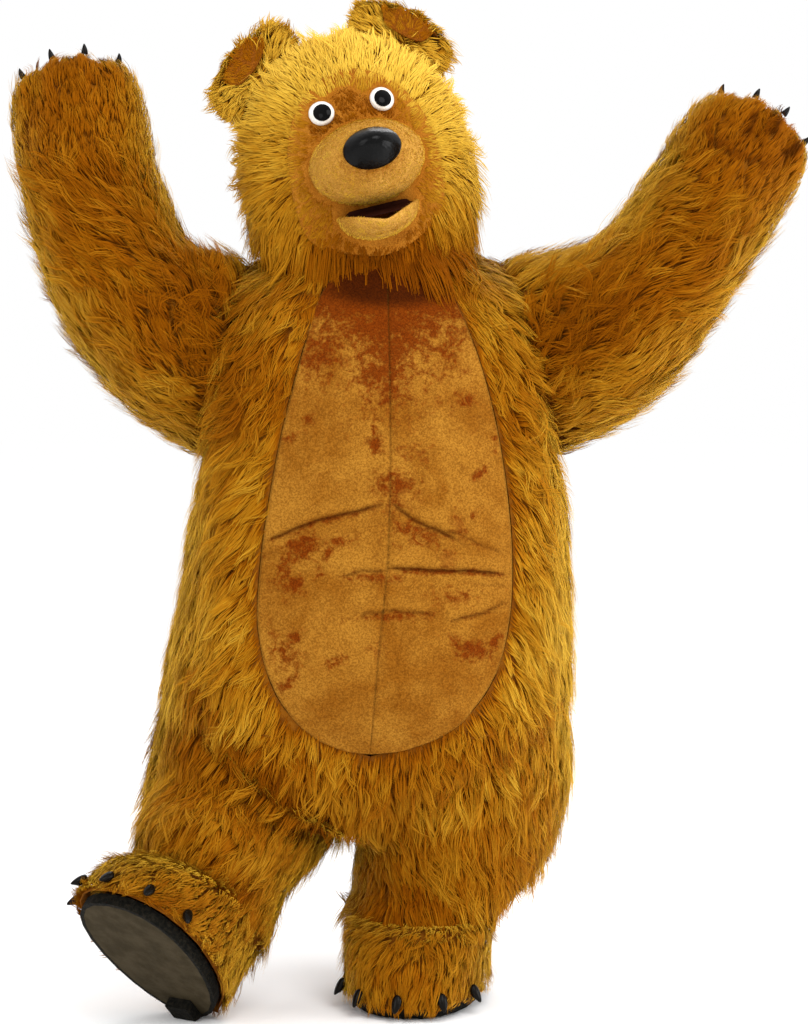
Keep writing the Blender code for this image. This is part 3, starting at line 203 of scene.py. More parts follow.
# The fur's colour along its own lightness, from the roots in shade to sunlit tips.
FUR_COLOURS = (
    # at    red    green  blue
    (0.00, 0.062, 0.011, 0.0000),
    (0.22, 0.150, 0.033, 0.0001),
    (0.42, 0.246, 0.069, 0.0010),
    (0.62, 0.380, 0.160, 0.0065),
    (0.82, 0.565, 0.322, 0.0280),
    (1.00, 0.800, 0.510, 0.0650),
)


def make_fur():
    """Hair's colour by its lightness, paler at the edges in painted rim light, with fine strands.
    """
    fur = Finish("golden_fur_locks", 0.70, 0.15)
    strand = fur.node("ShaderNodeUVMap", {"uv_map": "strand"}).outputs["UV"]
    fine = fur.spread(fur.grain(1.0, 3.0, 0.7, strand), 0.28, 0.72, -0.07, 0.07)
    # painted rim light: the colour is made paler where the strands turn edge-on
    facing = fur.node("ShaderNodeLayerWeight", Blend=0.5).outputs["Facing"]
    edge = fur.spread(facing, 0.45, 1.0, -0.02, 0.28)
    light = fur.combine("ADD", fur.attribute("lightness"), edge)
    colours = fur.node("ShaderNodeValToRGB", Fac=fur.combine("ADD", light, fine))
    stops = colours.color_ramp.elements
    while len(stops) < len(FUR_COLOURS):
        stops.new(0.5)
    for stop, (place, *colour) in zip(stops, FUR_COLOURS):
        stop.position = place
        stop.color = (*colour, 1.0)
    fur.colour(colours.outputs["Color"])
    fur.tune(Sheen_Weight=0.85, Sheen_Roughness=0.35, Sheen_Tint=(1.0, 0.60, 0.04, 1.0),
             Specular_Tint=(1.0, 0.62, 0.06, 1.0))
    return fur.material


# How bright the deepest nap and painted shadow, and a crease's painted floor shade, are as shares
# of the dark plush.
DEEP_NAP_AND_SHADOW, CREASE_FLOOR_SHADE = 0.32, 0.40


def darker(colour, share):
    return tuple(share * part for part in colour)


def make_plush(name, light, middle, dark, nap_and_shade=None, painted_crease_light=None, pebble=280.0, ragged=1.0):
    """Short crushed plush in pebbly tufts, darker where the nap lies over, with painted shade and
    highlight.
    """
    plush = Finish(name, 0.85, 0.03)
    fibre = plush.grain(900.0, 2.0, 0.7)
    pebbles = plush.grain(pebble, 2.5, 0.55, distortion=0.6)
    cloud = plush.grain(9.0, 4.0, 0.6, distortion=0.5)
    base = plush.blend(plush.spread(cloud, 0.30, 0.70), middle, light)
    if nap_and_shade:
        # the nap attribute holds crushed nap together with painted shade
        crush_and_shade = plush.attribute(nap_and_shade)
        wide = plush.spread(plush.grain(46.0, 4.0, 0.6, distortion=1.0), 0.25, 0.75,
                            -0.34 * ragged, 0.34 * ragged)
        fine = plush.spread(plush.grain(150.0, 3.0, 0.65), 0.25, 0.75,
                            -0.17 * ragged, 0.17 * ragged)
        strength = plush.combine("ADD", plush.combine("ADD", crush_and_shade, wide), fine)
        base = plush.blend(plush.spread(strength, 0.16, 0.88, 0.0, 0.95), base, dark)
        # the deepest values are mostly painted shadow that the head casts under the chin
        deep = plush.spread(crush_and_shade, 0.98, 1.55, 0.0, 0.95)
        base = plush.blend(deep, base, darker(dark, DEEP_NAP_AND_SHADOW))
    else:
        blotch = plush.grain(30.0, 5.0, 0.65, distortion=0.8)
        base = plush.blend(plush.spread(blotch, 0.48, 0.68, 0.0, 0.5), base, dark)
    # painted highlight over each crease's bulge and painted shade on its floor
    if painted_crease_light:
        valley = plush.attribute(painted_crease_light)
        base = plush.blend(plush.spread(valley, -1.0, 0.0, 0.55, 0.0), base, light)
        base = plush.blend(plush.spread(valley, 0.0, 1.0, 0.0, 0.75), base,
                           darker(dark, CREASE_FLOOR_SHADE))
    speck = plush.blend(plush.spread(pebbles, 0.34, 0.66), (0.72, 0.66, 0.56),
                        (1.24, 1.27, 1.32))
    fleck = plush.blend(plush.spread(fibre, 0.25, 0.75), (0.88, 0.87, 0.86), (1.10, 1.10, 1.10))
    plush.colour(plush.blend(1.0, plush.blend(1.0, base, speck, "MULTIPLY"), fleck, "MULTIPLY"))
    height = plush.combine("ADD", pebbles, plush.combine("MULTIPLY", fibre, 0.3))
    plush.relief(height, 0.75, 0.0022)
    plush.tune(Sheen_Weight=0.10, Sheen_Roughness=0.4, Sheen_Tint=(1.0, 0.62, 0.10, 1.0))
    return plush.material


def make_gloss(name, base, roughness, specular, speckle=0.0):
    """A hard shiny finish, finely worn."""
    gloss = Finish(name, roughness, specular)
    worn = gloss.grain(160.0, 5.0, 0.7)
    lighter = tuple(min(part * 1.4 + 0.001, 1.0) for part in base)
    gloss.colour(gloss.blend(gloss.spread(worn, 0.45, 0.80), base, lighter))
    gloss.rough(gloss.spread(worn, 0.3, 0.8, roughness, roughness + 0.10))
    gloss.relief(gloss.grain(150.0, 3.0), 0.05 + speckle, 0.0010)
    return gloss.material


def make_matt(name, roughness, specular, patches, limits, tones, fine, relief):
    """A matt finish of two tones in patches, with a fine relief."""
    matt = Finish(name, roughness, specular)
    share = matt.grain(*patches)
    if limits:
        share = matt.spread(share, *limits)
    matt.colour(matt.blend(share, *tones))
    matt.relief(matt.grain(*fine), *relief)
    return matt.material


FUR = make_fur()
# The cloth that the fur grows from, dark between the locks.
BACKING = make_matt("fur_backing", 0.95, 0.1, patches=(38.0, 5.0), limits=(0.3, 0.7),
                    tones=((0.150, 0.040, 0.0008), (0.230, 0.075, 0.0025)),
                    fine=(520.0, 3.0), relief=(0.9, 0.002))
BELLY_PLUSH = make_plush("belly_plush", (0.310, 0.132, 0.0140), (0.205, 0.070, 0.0046),
                         (0.130, 0.021, 0.0003), nap_and_shade="nap_and_shade", painted_crease_light="painted_crease_light")
FACE_PLUSH = make_plush("face_plush", (0.380, 0.145, 0.014), (0.300, 0.100, 0.007),
                        (0.200, 0.050, 0.002), pebble=520.0)
MUZZLE_PLUSH = make_plush("muzzle_plush", (0.520, 0.270, 0.050), (0.400, 0.185, 0.025),
                          (0.230, 0.070, 0.004), nap_and_shade="nap_and_shade", pebble=420.0, ragged=0.45)
EAR_PLUSH = make_plush("ear_plush", (0.250, 0.080, 0.006), (0.180, 0.050, 0.003),
                       (0.120, 0.028, 0.001))
NOSE_GLOSS = make_gloss("nose_gloss", (0.002, 0.002, 0.002), 0.13, 0.09, speckle=0.55)
CLAW_GLOSS = make_gloss("claw_gloss", (0.004, 0.003, 0.002), 0.20, 0.08)
PUPIL_GLOSS = make_gloss("pupil_gloss", (0.002, 0.002, 0.002), 0.07, 0.06)
EYE_GLOSS = make_gloss("eye_gloss", (0.780, 0.760, 0.700), 0.12, 0.3)
SOLE_SUEDE = make_matt("sole_suede", 0.9, 0.08, patches=(22.0, 6.0, 0.65), limits=(0.35, 0.68),
                       tones=((0.030, 0.022, 0.010), (0.052, 0.039, 0.021)),
                       fine=(900.0, 2.0), relief=(0.5, 0.0008))
ROUGH_BINDING = make_matt("rough_binding", 0.75, 0.06, patches=(130.0, 5.0, 0.7),
                          limits=(0.4, 0.7),
                          tones=((0.004, 0.004, 0.003), (0.018, 0.015, 0.010)),
                          fine=(130.0, 5.0, 0.7), relief=(1.0, 0.006))
MOUTH_FELT = make_matt("mouth_felt", 0.9, 0.0, patches=(60.0,), limits=None,
                       tones=((0.010, 0.003, 0.002), (0.035, 0.010, 0.006)),
                       fine=(700.0, 2.0), relief=(0.6, 0.001))


# --- reading the frame's nodes ---------------------------------------------------------------

OUTWARD = 0.30             # least share of a face's normal that points away from the inside
BETWEEN_FINGERS = -0.60    # the same on the sides that face each other between two fingers
CUT_EDGE_FACING = 0.60     # the mitts' cut edges face more to the front or back than this
# Nodes whose walls are thick in places: no depth tells their cut edges from their outside.
THICK = ("ear", "muzzle", "lower_jaw", "mitt")
EDGE_DEPTH = 0.034         # under a cut edge a wall is deeper than this; under its outside, less
SKIN = 0.0006              # a ray into a wall starts this far under its outside
UNKNOWN_DEPTH = 0.02       # where no ray meets the wall's inside
THINNEST, THICKEST = 0.004, 0.028
MERGED_DIGITS = 5          # points are merged where they agree to so many decimals


def unit(vectors):
    return vectors / np.maximum(np.linalg.norm(vectors, axis=-1, keepdims=True), 1e-12)


def ramp(values, start, width):
    """0 at the start and 1 past it by the width; a negative width goes the other way."""
    return np.clip((values - start) / width, 0.0, 1.0)


def bell(values, width):
    """1 where the values are 0, fading smoothly to both sides."""
    return np.exp(-(values / width) ** 2)


def vertex_points(mesh):
    points = np.empty(len(mesh.vertices) * 3, np.float32)
    mesh.vertices.foreach_get("co", points)
    return points.reshape(-1, 3).astype(float)


def triangles_of(node):
    """(triangles, 3, 3) array of a node's corners."""
    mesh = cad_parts[node].data
    mesh.calc_loop_triangles()
    corners = np.empty(len(mesh.loop_triangles) * 3, np.int32)
    mesh.loop_triangles.foreach_get("vertices", corners)
    return vertex_points(mesh)[corners].reshape(-1, 3, 3)


def merged(corners):
    """The triangles' points without doubles, and each triangle's three indices."""
    keys = np.round(corners.reshape(-1, 3), MERGED_DIGITS)
    points, index = np.unique(keys, axis=0, return_inverse=True)
    return points, index.reshape(-1, 3)


def long_normals(corners):
    """Each triangle's normal, twice its area long."""
    return np.cross(corners[:, 1] - corners[:, 0], corners[:, 2] - corners[:, 0])


def form_of(corners):
    """A tree of triangles to cast rays at."""
    points = [Vector(p) for p in corners.reshape(-1, 3)]
    return BVHTree.FromPolygons(points, [(k, k + 1, k + 2) for k in range(0, len(points), 3)])


def tree_of(points):
    """A tree that finds the nearest of the points."""
    tree = KDTree(len(points))
    for k, point in enumerate(points):
        tree.insert(Vector(point), k)
    tree.balance()
    return tree


def depth_under(form, place, normal):
    """How thick the wall is under a place, or None."""
    return form.ray_cast(Vector(place - normal * SKIN), Vector(-normal))[3]


def nearest_on_line(points, line):
    """The nearest places on a line through the given points."""
    best, gap = None, None
    for a, b in zip(line, line[1:]):
        run = b - a
        t = np.clip(((points - a) @ run) / (run @ run), 0.0, 1.0)
        place = a + t[:, None] * run
        far = np.linalg.norm(points - place, axis=1)
        if best is None:
            best, gap = place, far
        else:
            nearer = far < gap
            best[nearer], gap[nearer] = place[nearer], far[nearer]
    return best


def gap_to_line(points, line):
    return np.linalg.norm(points - nearest_on_line(points, line), axis=1)


def outer_side(node, inside):
    """Faces, merged points, their normals and their wall's thickness, of a node's outside."""
    corners = triangles_of(node)
    normal = unit(long_normals(corners))
    centre = corners.mean(axis=1)
    away = unit(centre - nearest_on_line(centre, inside))
    facing = (normal * away).sum(axis=1)
    form = form_of(corners)
    outer = facing > OUTWARD
    if node.startswith("mitt"):
        beyond = (centre - inside[-1]) @ unit(inside[-1] - inside[0]) > 0.0
        sideways = np.abs(normal[:, 1]) < CUT_EDGE_FACING
        outer |= beyond & sideways & (facing > BETWEEN_FINGERS)
    if not node.startswith(THICK):
        for k in np.flatnonzero(outer):
            depth = depth_under(form, centre[k], normal[k])
            outer[k] = depth is not None and depth < EDGE_DEPTH
    outside = corners[outer]
    points, faces = merged(outside)
    normals = np.zeros_like(points)
    for k in range(3):
        np.add.at(normals, faces[:, k], long_normals(outside))
    normals = unit(normals)
    depths = [depth_under(form, point, way) for point, way in zip(points, normals)]
    depths = np.array([UNKNOWN_DEPTH if depth is None else depth for depth in depths])
    return faces, points, normals, np.clip(depths, THINNEST, THICKEST)


# --- making meshes ---------------------------------------------------------------------------

def add_piece(name, mesh, finish):
    piece = bpy.data.objects.new(name, mesh)
    bpy.context.collection.objects.link(piece)
    mesh.materials.append(finish)
    return piece


def apply_modifier(piece, kind, **settings):
    modifier = piece.modifiers.new(kind.lower(), kind)
    for key, value in settings.items():
        setattr(modifier, key, value)
    bpy.context.view_layer.objects.active = piece
    bpy.ops.object.modifier_apply(modifier=modifier.name)


def subdivide(piece, levels):
    apply_modifier(piece, "SUBSURF", levels=levels, render_levels=levels)


def sheet_mesh(name, points, faces):
    """A one-sided sheet, in quads where two triangles make one."""
    made = bmesh.new()
    verts = [made.verts.new(p) for p in points]
    for face in faces:
        made.faces.new([verts[k] for k in face])
    bmesh.ops.join_triangles(made, faces=made.faces, angle_face_threshold=math.radians(40),
                             angle_shape_threshold=math.radians(70))
    bmesh.ops.recalc_face_normals(made, faces=made.faces)
    mesh = bpy.data.meshes.new(name)
    made.to_mesh(mesh)
    made.free()
    return mesh


def face_outward(piece, normals_at):
    """Turn a one-sided sheet round if it faces the wearer."""
    share = sum(f.normal.dot(normals_at(f.center)) for f in piece.data.polygons)
    if share < 0.0:
        piece.data.flip_normals()


def add_sheet(name, side, sunk, finish):
    """A sheet on a node's outside, sunk under it by a share of the wall's thickness."""
    faces, points, normals, depth = side
    mesh = sheet_mesh(name, points - normals * (depth * sunk)[:, None], faces)
    piece = add_piece(name, mesh, finish)
    tree = tree_of(points)
    face_outward(piece, lambda centre: Vector(normals[tree.find(centre)[1]]))
    return piece


def thicken(piece, thickness):
    """Give a one-sided sheet its thickness, inward."""
    apply_modifier(piece, "SOLIDIFY", thickness=thickness, offset=-1.0)
    piece.data.shade_smooth()


def write_floats(mesh, name, values):
    layer = mesh.attributes.new(name, "FLOAT", "POINT")
    layer.data.foreach_set("value", np.asarray(values, np.float32))


def enter(piece, node=None):
    """Let a piece ride with the costume and stand for its node, if it has one."""
    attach(piece, "root")
    if node:
        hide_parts(node)


# --- fur -------------------------------------------------------------------------------------

# What differs between the dense undercoat and the wisps over it:
#   rows      shares of a strand's length where its rows lie, and its half width there as a share
#   shades    lightness of those rows over the strand's own: its root lies in shade
#   bends     how far a tuft's lie is bent by waves of its neighbours: share, scale and seed
#   stray     how far it is bent by itself
#   tufts     least and greatest share of the full length that a tuft has
#   strands   the same, of its tuft's length, for a strand
#   wave      how far a strand waves to its sides, as a share of its length
#   width     half width of a strand as a share of the look's, and its least and greatest share
#   light     mean and spread of a tuft's own lightness
Kind = namedtuple("Kind", "rows shades bends stray tufts strands wave width widths light")
UNDERCOAT = Kind(
    rows=((0.0, 0.9), (0.5, 1.0), (1.0, 0.0)),
    shades=(-0.30, -0.03, 0.07),
    bends=((0.70, 8.0, 1), (0.60, 24.0, 2)),
    stray=0.22, tufts=(0.75, 1.30), strands=(0.65, 1.15), wave=0.05,
    width=1.0, widths=(0.6, 1.2), light=(0.0, 0.030),
)
WISP = Kind(
    rows=((0.0, 0.7), (0.28, 1.0), (0.55, 0.9), (0.80, 0.6), (1.0, 0.0)),
    shades=(-0.24, -0.06, 0.02, 0.06, 0.10),
    bends=((1.00, 8.0, 1), (0.70, 20.0, 5)),
    stray=0.20, tufts=(1.0, 1.65), strands=(0.70, 1.08), wave=0.10,
    width=0.8, widths=(0.6, 1.15), light=(0.02, 0.035),
)
UNDERCOAT_PER_M2 = 31000.0
TUFTS_PER_M2 = 2600.0      # the undercoat's tufts
WISPS_PER_M2 = 1000.0
STRANDS_PER_WISP = 8
FULL_PILE = 0.026
SHORTEST = 0.72            # least share of its length that hair keeps beside a seam
FULL_LENGTH = 0.055        # hair as long as this stands fully out of its tufts
STRAND_ROUNDNESS = 0.55    # how far a strand's normals turn from its middle to its edges
STRAND_ROLL = 0.16         # how far strands are rolled round their own length, in radians
STRAND_LIGHT = 0.035       # how much lightness differs from strand to strand
STRAND_UV = (1.3, 1.2)     # a strand's half width and length in its UVs
UV_SPREAD = 60.0           # strands are spread so far over the UVs
BLOTCHES = ((0.14, 6.0, 3), (0.12, 18.0, 4), (0.08, 45.0, 6))          # share, scale and seed

# The undercoat. Depths and heights are in metres along the normal.
ROOT_DEPTH = 0.55          # share of the pile that the darkest hair is rooted under its outside
TUFT_SUNK, TUFT_RAISED = -0.008, 0.022     # lowest lift of a tuft's tip, and how much it may gain
RAISED_SELDOM = 2.5        # the higher, the fewer tufts are raised
STANDING_LIFT = 0.006      # more for hair that flows straight outward
DROOPS = (0.5, 1.2)        # how far a tuft follows the droop
STRAND_STRAY = 0.12        # how far a strand strays from its tuft's way
STRAND_LIFTS = (-0.011, 0.002)             # least and greatest lift of a strand's own tip
PULLS = (0.35, 0.85)       # how far strands are drawn to the tip of their tuft
BEND_ALONG, BEND_UP = 0.32, 0.06           # where they bend, in shares of length and pile

# The wisps.
CURL, UNTIDY_CURL = 0.22, 0.30             # how far wisps curl aside, and more if untidy
BUNCH_SPREAD = 0.0045      # how far a wisp's strands stand apart
START_SPREAD, TIP_SPREAD = 1.2, 0.55       # shares of that where they start and end
WISP_ROOT = 0.35           # share of the pile that they are rooted under its outside
WISP_BEND = 0.45           # share of their length at which they bend
BEND_CURL, TIP_CURL = 0.6, 0.35            # shares of the curl at the bend, and back at the tip
WISP_BEND_LIFTS = (0.001, 0.006)
WISP_TIP_LIFTS = (-0.006, 0.011)
MATTED_LIFT = 0.006        # more where the hair is matted
STAND_SHARE, MOST_STANDING = 0.6, 0.25     # how far wisps stand out where the hair flows outward
WISP_DROOPS = (0.6, 1.3)
WISP_FOLDS = 1.3           # wisps take more of the folds' painted shade than the undercoat, by this


def smooth_noise(points, scale, seed):
    """A smooth random vector at each point, about one long."""
    shift = Vector((seed * 7.31, seed * 3.17, seed * 5.53))
    return np.array([noise.noise_vector(Vector(p) * scale + shift) for p in points])


def smooth_value(points, scale, seed):
    shift = Vector((seed * 5.11, seed * 2.37, seed * 8.03))
    return np.array([noise.noise(Vector(p) * scale + shift) for p in points])


def scatter(side, per_m2, keep):
    """Random places on a node's outside, with the normal and the pile's depth at each."""
    faces, points, normals, depth = side
    area = np.linalg.norm(long_normals(points[faces]), axis=1)
    count = int(0.5 * area.sum() * per_m2)
    pick = rng.choice(len(faces), count, p=area / area.sum())
    a, b = rng.random(count), rng.random(count)
    over = a + b > 1.0
    a[over], b[over] = 1.0 - a[over], 1.0 - b[over]
    shares = np.stack([1.0 - a - b, a, b], axis=1)[..., None]
    chosen = faces[pick]
    place = (points[chosen] * shares).sum(axis=1)
    normal = unit((normals[chosen] * shares).sum(axis=1))
    pile = (depth[chosen] * shares[..., 0]).sum(axis=1)
    if keep is not None:
        kept = keep(place)
        place, normal, pile = place[kept], normal[kept], pile[kept]
    return place, normal, pile


# Where the hair is matted and curled: around the armpits and the inner elbows.
MATTED = (
    #  x      y      z      radius strength
    (-0.344, -0.20, 1.416, 0.085, 2.2),
    (-0.290, -0.18, 1.270, 0.090, 1.6),
    (-0.480, -0.20, 1.440, 0.070, 0.8),
    (0.345, -0.18, 1.400, 0.080, 1.8),
    (0.300, -0.18, 1.490, 0.060, 1.2),
    (0.330, -0.18, 1.250, 0.080, 1.0),
    (-0.330, 0.20, 1.380, 0.080, 1.4),
    (0.350, 0.20, 1.380, 0.080, 1.4),
)
# Painted shade in grooves of the fur in front: the left palm's fingers and crease, the folds at
# the ankles, the hips and the crotch. X and height above the floor of both ends, half width and how
# dark.
FUR_FOLDS = (
    #  x      z      x      z      width  dark
    (0.812, 1.800, 0.788, 1.760, 0.010, 0.52),
    (0.848, 1.735, 0.808, 1.702, 0.010, 0.52),
    (0.752, 1.794, 0.736, 1.758, 0.009, 0.40),
    (0.656, 1.752, 0.700, 1.716, 0.012, 0.32),
    (0.700, 1.716, 0.764, 1.694, 0.012, 0.26),
    (-0.425, 0.286, -0.345, 0.262, 0.016, 0.16),
    (-0.311, 0.330, -0.216, 0.290, 0.012, 0.20),
    (-0.240, 0.250, -0.290, 0.180, 0.010, 0.12),
    (0.060, 0.262, 0.200, 0.230, 0.012, 0.12),
    (-0.379, 0.728, -0.318, 0.660, 0.013, 0.20),
    (-0.318, 0.660, -0.251, 0.545, 0.013, 0.15),
    (-0.251, 0.545, -0.169, 0.464, 0.014, 0.18),
    (-0.169, 0.464, -0.088, 0.383, 0.016, 0.20),
    (0.369, 0.653, 0.155, 0.484, 0.010, 0.18),
    (0.155, 0.484, 0.060, 0.440, 0.012, 0.10),
    (-0.262, 0.925, -0.236, 0.938, 0.008, 0.22),
)
SEEN = (0, 2)              # X and Z, as seen from in front


def fold_shade(places):
    """How much painted shade darkens the hair in the grooves and folds."""
    seen = places[:, SEEN] - (0.0, FLOOR)
    total = np.zeros(len(places))
    for x1, z1, x2, z2, width, dark in FUR_FOLDS:
        away = gap_to_line(seen, (np.array((x1, z1)), np.array((x2, z2))))
        total = np.maximum(total, dark * bell(away, width))
    return total * (places[:, 1] < 0.0)


def matting(places):
    """How much more untidy the hair is at each place."""
    total = np.zeros(len(places))
    for x, y, z, radius, strength in MATTED:
        away = np.linalg.norm(places - np.array((x, y, z + FLOOR)), axis=1)
        total = np.maximum(total, strength * bell(away, radius))
    return total


def blotches(places):
    """Lightness that differs from lock to lock and from patch to patch."""
    return sum(share * smooth_value(places, scale, seed) for share, scale, seed in BLOTCHES)


def scaled(vectors, lengths):
    """Each vector times its own number."""
    return vectors * lengths[:, None]


def along_surface(way, normal):
    return unit(way - normal * (way * normal).sum(axis=1, keepdims=True))


def tuft_ways(way, places, normals, matted, look, kind):
    """How each tuft lies: with the flow, but bent more or less."""
    bent = sum(share * smooth_noise(places, scale, seed) for share, scale, seed in kind.bends)
    bent = bent + kind.stray * rng.normal(size=places.shape)
    return along_surface(way + scaled(bent, look.untidy * (1.0 + matted)), normals)


def tuft_lengths(places, pile, look, kind):
    """The share of its length that the pile leaves to each tuft, and its length."""
    share = np.clip((pile / FULL_PILE) ** 0.7, SHORTEST, 1.0)
    length = look.length * share * rng.uniform(*kind.tufts, len(places))
    if look.reach is not None:
        length = length * look.reach(places)
    return share, length


def strand_points(root, bend, tip, wave, rows):
    """Middles of each strand's rows on its curve, and the way that it runs there."""
    middles, runs = [], []
    for t, _ in rows:
        middle = ((1.0 - t) ** 2) * root + 2.0 * t * (1.0 - t) * bend + (t * t) * tip
        middles.append(middle + wave * math.sin(2.0 * math.pi * t) * t)
        runs.append(unit((1.0 - t) * (bend - root) + t * (tip - bend)))
    return np.stack(middles, axis=1), np.stack(runs, axis=1)


def strand_strips(middles, runs, normal, flat, half, rows, lightness):
    """Flat strips along strands: their points, triangles, normals, strand UVs, lightness."""
    verts, ways, sides, along, light = [], [], [], [], []
    for k, (t, share) in enumerate(rows):
        over = along_surface(normal, runs[:, k])
        for side in ((-1.0, 1.0) if share else (0.0,)):
            verts.append(middles[:, k] + scaled(flat, half * share * side))
            ways.append(unit(over + flat * (STRAND_ROUNDNESS * side)))
            sides.append(side)
            along.append(t)
            light.append(lightness[:, k])
    count, per_strand = len(middles), len(verts)
    pattern = []
    for a in range(0, 2 * (len(rows) - 2), 2):
        pattern += [(a, a + 1, a + 3), (a, a + 3, a + 2)]
    pattern.append((per_strand - 3, per_strand - 2, per_strand - 1))
    faces = np.arange(count)[:, None, None] * per_strand + np.array(pattern)[None]
    start = rng.uniform(0.0, UV_SPREAD, (2, count))
    u = start[0][:, None] + np.array(sides)[None] * STRAND_UV[0]
    v = start[1][:, None] + np.array(along)[None] * STRAND_UV[1]
    return (np.stack(verts, axis=1).reshape(-1, 3), faces.reshape(-1, 3),
            np.stack(ways, axis=1).reshape(-1, 3), np.stack([u, v], axis=-1).reshape(-1, 2),
            np.stack(light, axis=1).ravel())


def strips_on(curve, across, normal, tuft, home, share, shade, look, kind):
    """Strips along curves, each rolled a little and with its tuft's width and lightness."""
    middles, runs = strand_points(*curve, kind.rows)
    count = len(home)
    roll = rng.normal(0.0, STRAND_ROLL, count)[:, None]
    flat = unit(across * np.cos(roll) + normal * np.sin(roll))
    half = kind.width * look.width * rng.uniform(*kind.widths, count) * np.sqrt(share[home])
    patchy = (blotches(tuft) + rng.normal(*kind.light, len(tuft)))[home]
    shade = shade + look.contrast * (patchy + rng.normal(0.0, STRAND_LIGHT, count))
    light = shade[:, None] + look.contrast * np.array(kind.shades)[None]
    return strand_strips(middles, runs, normal, flat, half, kind.rows, light)


def undercoat(side, flow, look, keep):
    """Dense strands whose tips are drawn together in tufts."""
    place, normal, pile = scatter(side, UNDERCOAT_PER_M2 * look.density, keep)
    tuft, tuft_normal, tuft_pile = scatter(side, TUFTS_PER_M2 * look.density ** 0.5, keep)
    count, tufts = len(place), len(tuft)
    way = unit(flow(tuft, tuft_normal))
    lies = tuft_ways(way, tuft, tuft_normal, matting(tuft), look, UNDERCOAT)
    share, length = tuft_lengths(tuft, tuft_pile, look, UNDERCOAT)
    stands = np.clip((way * tuft_normal).sum(axis=1), 0.0, 1.0)
    loose = min(1.0, look.length / FULL_LENGTH)
    lift = ((TUFT_SUNK + TUFT_RAISED * rng.random(tufts) ** RAISED_SELDOM
             + STANDING_LIFT * stands) * share * loose + look.rise)
    tuft_tip = tuft + scaled(lies, length) + scaled(tuft_normal, lift)
    if look.droop is not None:
        tuft_tip = tuft_tip + look.droop(tuft) * rng.uniform(*DROOPS, (tufts, 1))
    tree = tree_of(tuft)
    home = np.array([tree.find(Vector(p))[1] for p in place])

    way = along_surface(lies[home] + STRAND_STRAY * rng.normal(size=(count, 3)), normal)
    across = np.cross(way, normal)
    size = length[home] * rng.uniform(*UNDERCOAT.strands, count)
    root = place - scaled(normal, pile * ROOT_DEPTH * math.sqrt(look.contrast))
    lift = rng.uniform(*STRAND_LIFTS, count) * share[home] * loose + look.rise
    tip = place + scaled(way, size) + scaled(normal, lift)
    if look.droop is not None:
        tip = tip + look.droop(place)
    pull = look.clump * rng.uniform(*PULLS, count)[:, None]
    tip = tip * (1.0 - pull) + tuft_tip[home] * pull
    bend = place + scaled(way, size * BEND_ALONG) + scaled(normal, pile * BEND_UP + look.rise)
    wave = scaled(across, size * rng.normal(0.0, UNDERCOAT.wave, count))
    shade = look.light(tuft)[home] - fold_shade(place)
    return strips_on((root, bend, tip, wave), across, normal, tuft, home, share, shade, look,
                     UNDERCOAT)


def wisps(side, flow, look, keep):
    """Longer bunches of curved strands over the undercoat."""
    place, normal, pile = scatter(side, WISPS_PER_M2 * look.wisps, keep)
    bunches = len(place)
    matted = matting(place)
    way = unit(flow(place, normal))
    lies = tuft_ways(way, place, normal, matted, look, WISP)
    share, size = tuft_lengths(place, pile, look, WISP)
    curl = rng.normal(0.0, CURL + UNTIDY_CURL * look.untidy, bunches) * size * (1.0 + matted)

    home = np.repeat(np.arange(bunches), STRANDS_PER_WISP)
    count = len(home)
    scattered = scaled(rng.normal(size=(count, 3)), (BUNCH_SPREAD * share)[home])
    across = np.cross(lies, normal)[home]
    thrown = scaled(across, curl[home])
    start = place[home] + START_SPREAD * scattered
    root = start - scaled(normal[home], pile[home] * WISP_ROOT)
    length = size[home] * rng.uniform(*WISP.strands, count)
    bend_lift = rng.uniform(*WISP_BEND_LIFTS, count) * share[home]
    bend = (start + scaled(lies[home], length * WISP_BEND) + thrown * BEND_CURL
            + scaled(normal[home], bend_lift))
    stands = STAND_SHARE * np.clip((way * normal).sum(axis=1), 0.0, MOST_STANDING)
    lift = ((rng.uniform(*WISP_TIP_LIFTS, bunches) + MATTED_LIFT * matted) * share
            + stands * look.length)
    tip = (place[home] + TIP_SPREAD * scattered + scaled(lies[home], length)
           - thrown * TIP_CURL + scaled(normal[home], lift[home]))
    if look.droop is not None:
        tip = tip + (look.droop(place) * rng.uniform(*WISP_DROOPS, (bunches, 1)))[home]
    wave = scaled(across, (size * rng.normal(0.0, WISP.wave, bunches))[home])
    shade = (look.light(place) - WISP_FOLDS * fold_shade(place))[home]
    return strips_on((root, bend, tip, wave), across, normal[home], place, home, share, shade,
                     look, WISP)


def add_hair(name, strips):
    """One piece of many strips."""
    start = np.cumsum([0] + [len(strip[0]) for strip in strips[:-1]])
    faces = np.concatenate([strip[1] + first for strip, first in zip(strips, start)])
    points, _, ways, uv, light = (np.concatenate(column) for column in zip(*strips))
    mesh = bpy.data.meshes.new(name)
    mesh.vertices.add(len(points))
    mesh.vertices.foreach_set("co", points.astype(np.float32).ravel())
    mesh.loops.add(faces.size)
    mesh.loops.foreach_set("vertex_index", faces.astype(np.int32).ravel())
    mesh.polygons.add(len(faces))
    mesh.polygons.foreach_set("loop_start", np.arange(0, faces.size, 3, dtype=np.int32))
    mesh.update(calc_edges=True)
    mesh.shade_smooth()
    mesh.uv_layers.new(name="strand").data.foreach_set(
        "uv", uv[faces.ravel()].astype(np.float32).ravel())
    write_floats(mesh, "lightness", light)
    shading = mesh.attributes.new("custom_normal", "FLOAT_VECTOR", "POINT")
    shading.data.foreach_set("vector", ways.astype(np.float32).ravel())
    return add_piece(name, mesh, FUR)


# --- the ways that the hair lies -------------------------------------------------------------

def at(x, y, z):
    """A point whose height is given above the floor."""
    return np.array((x, y, z + FLOOR))


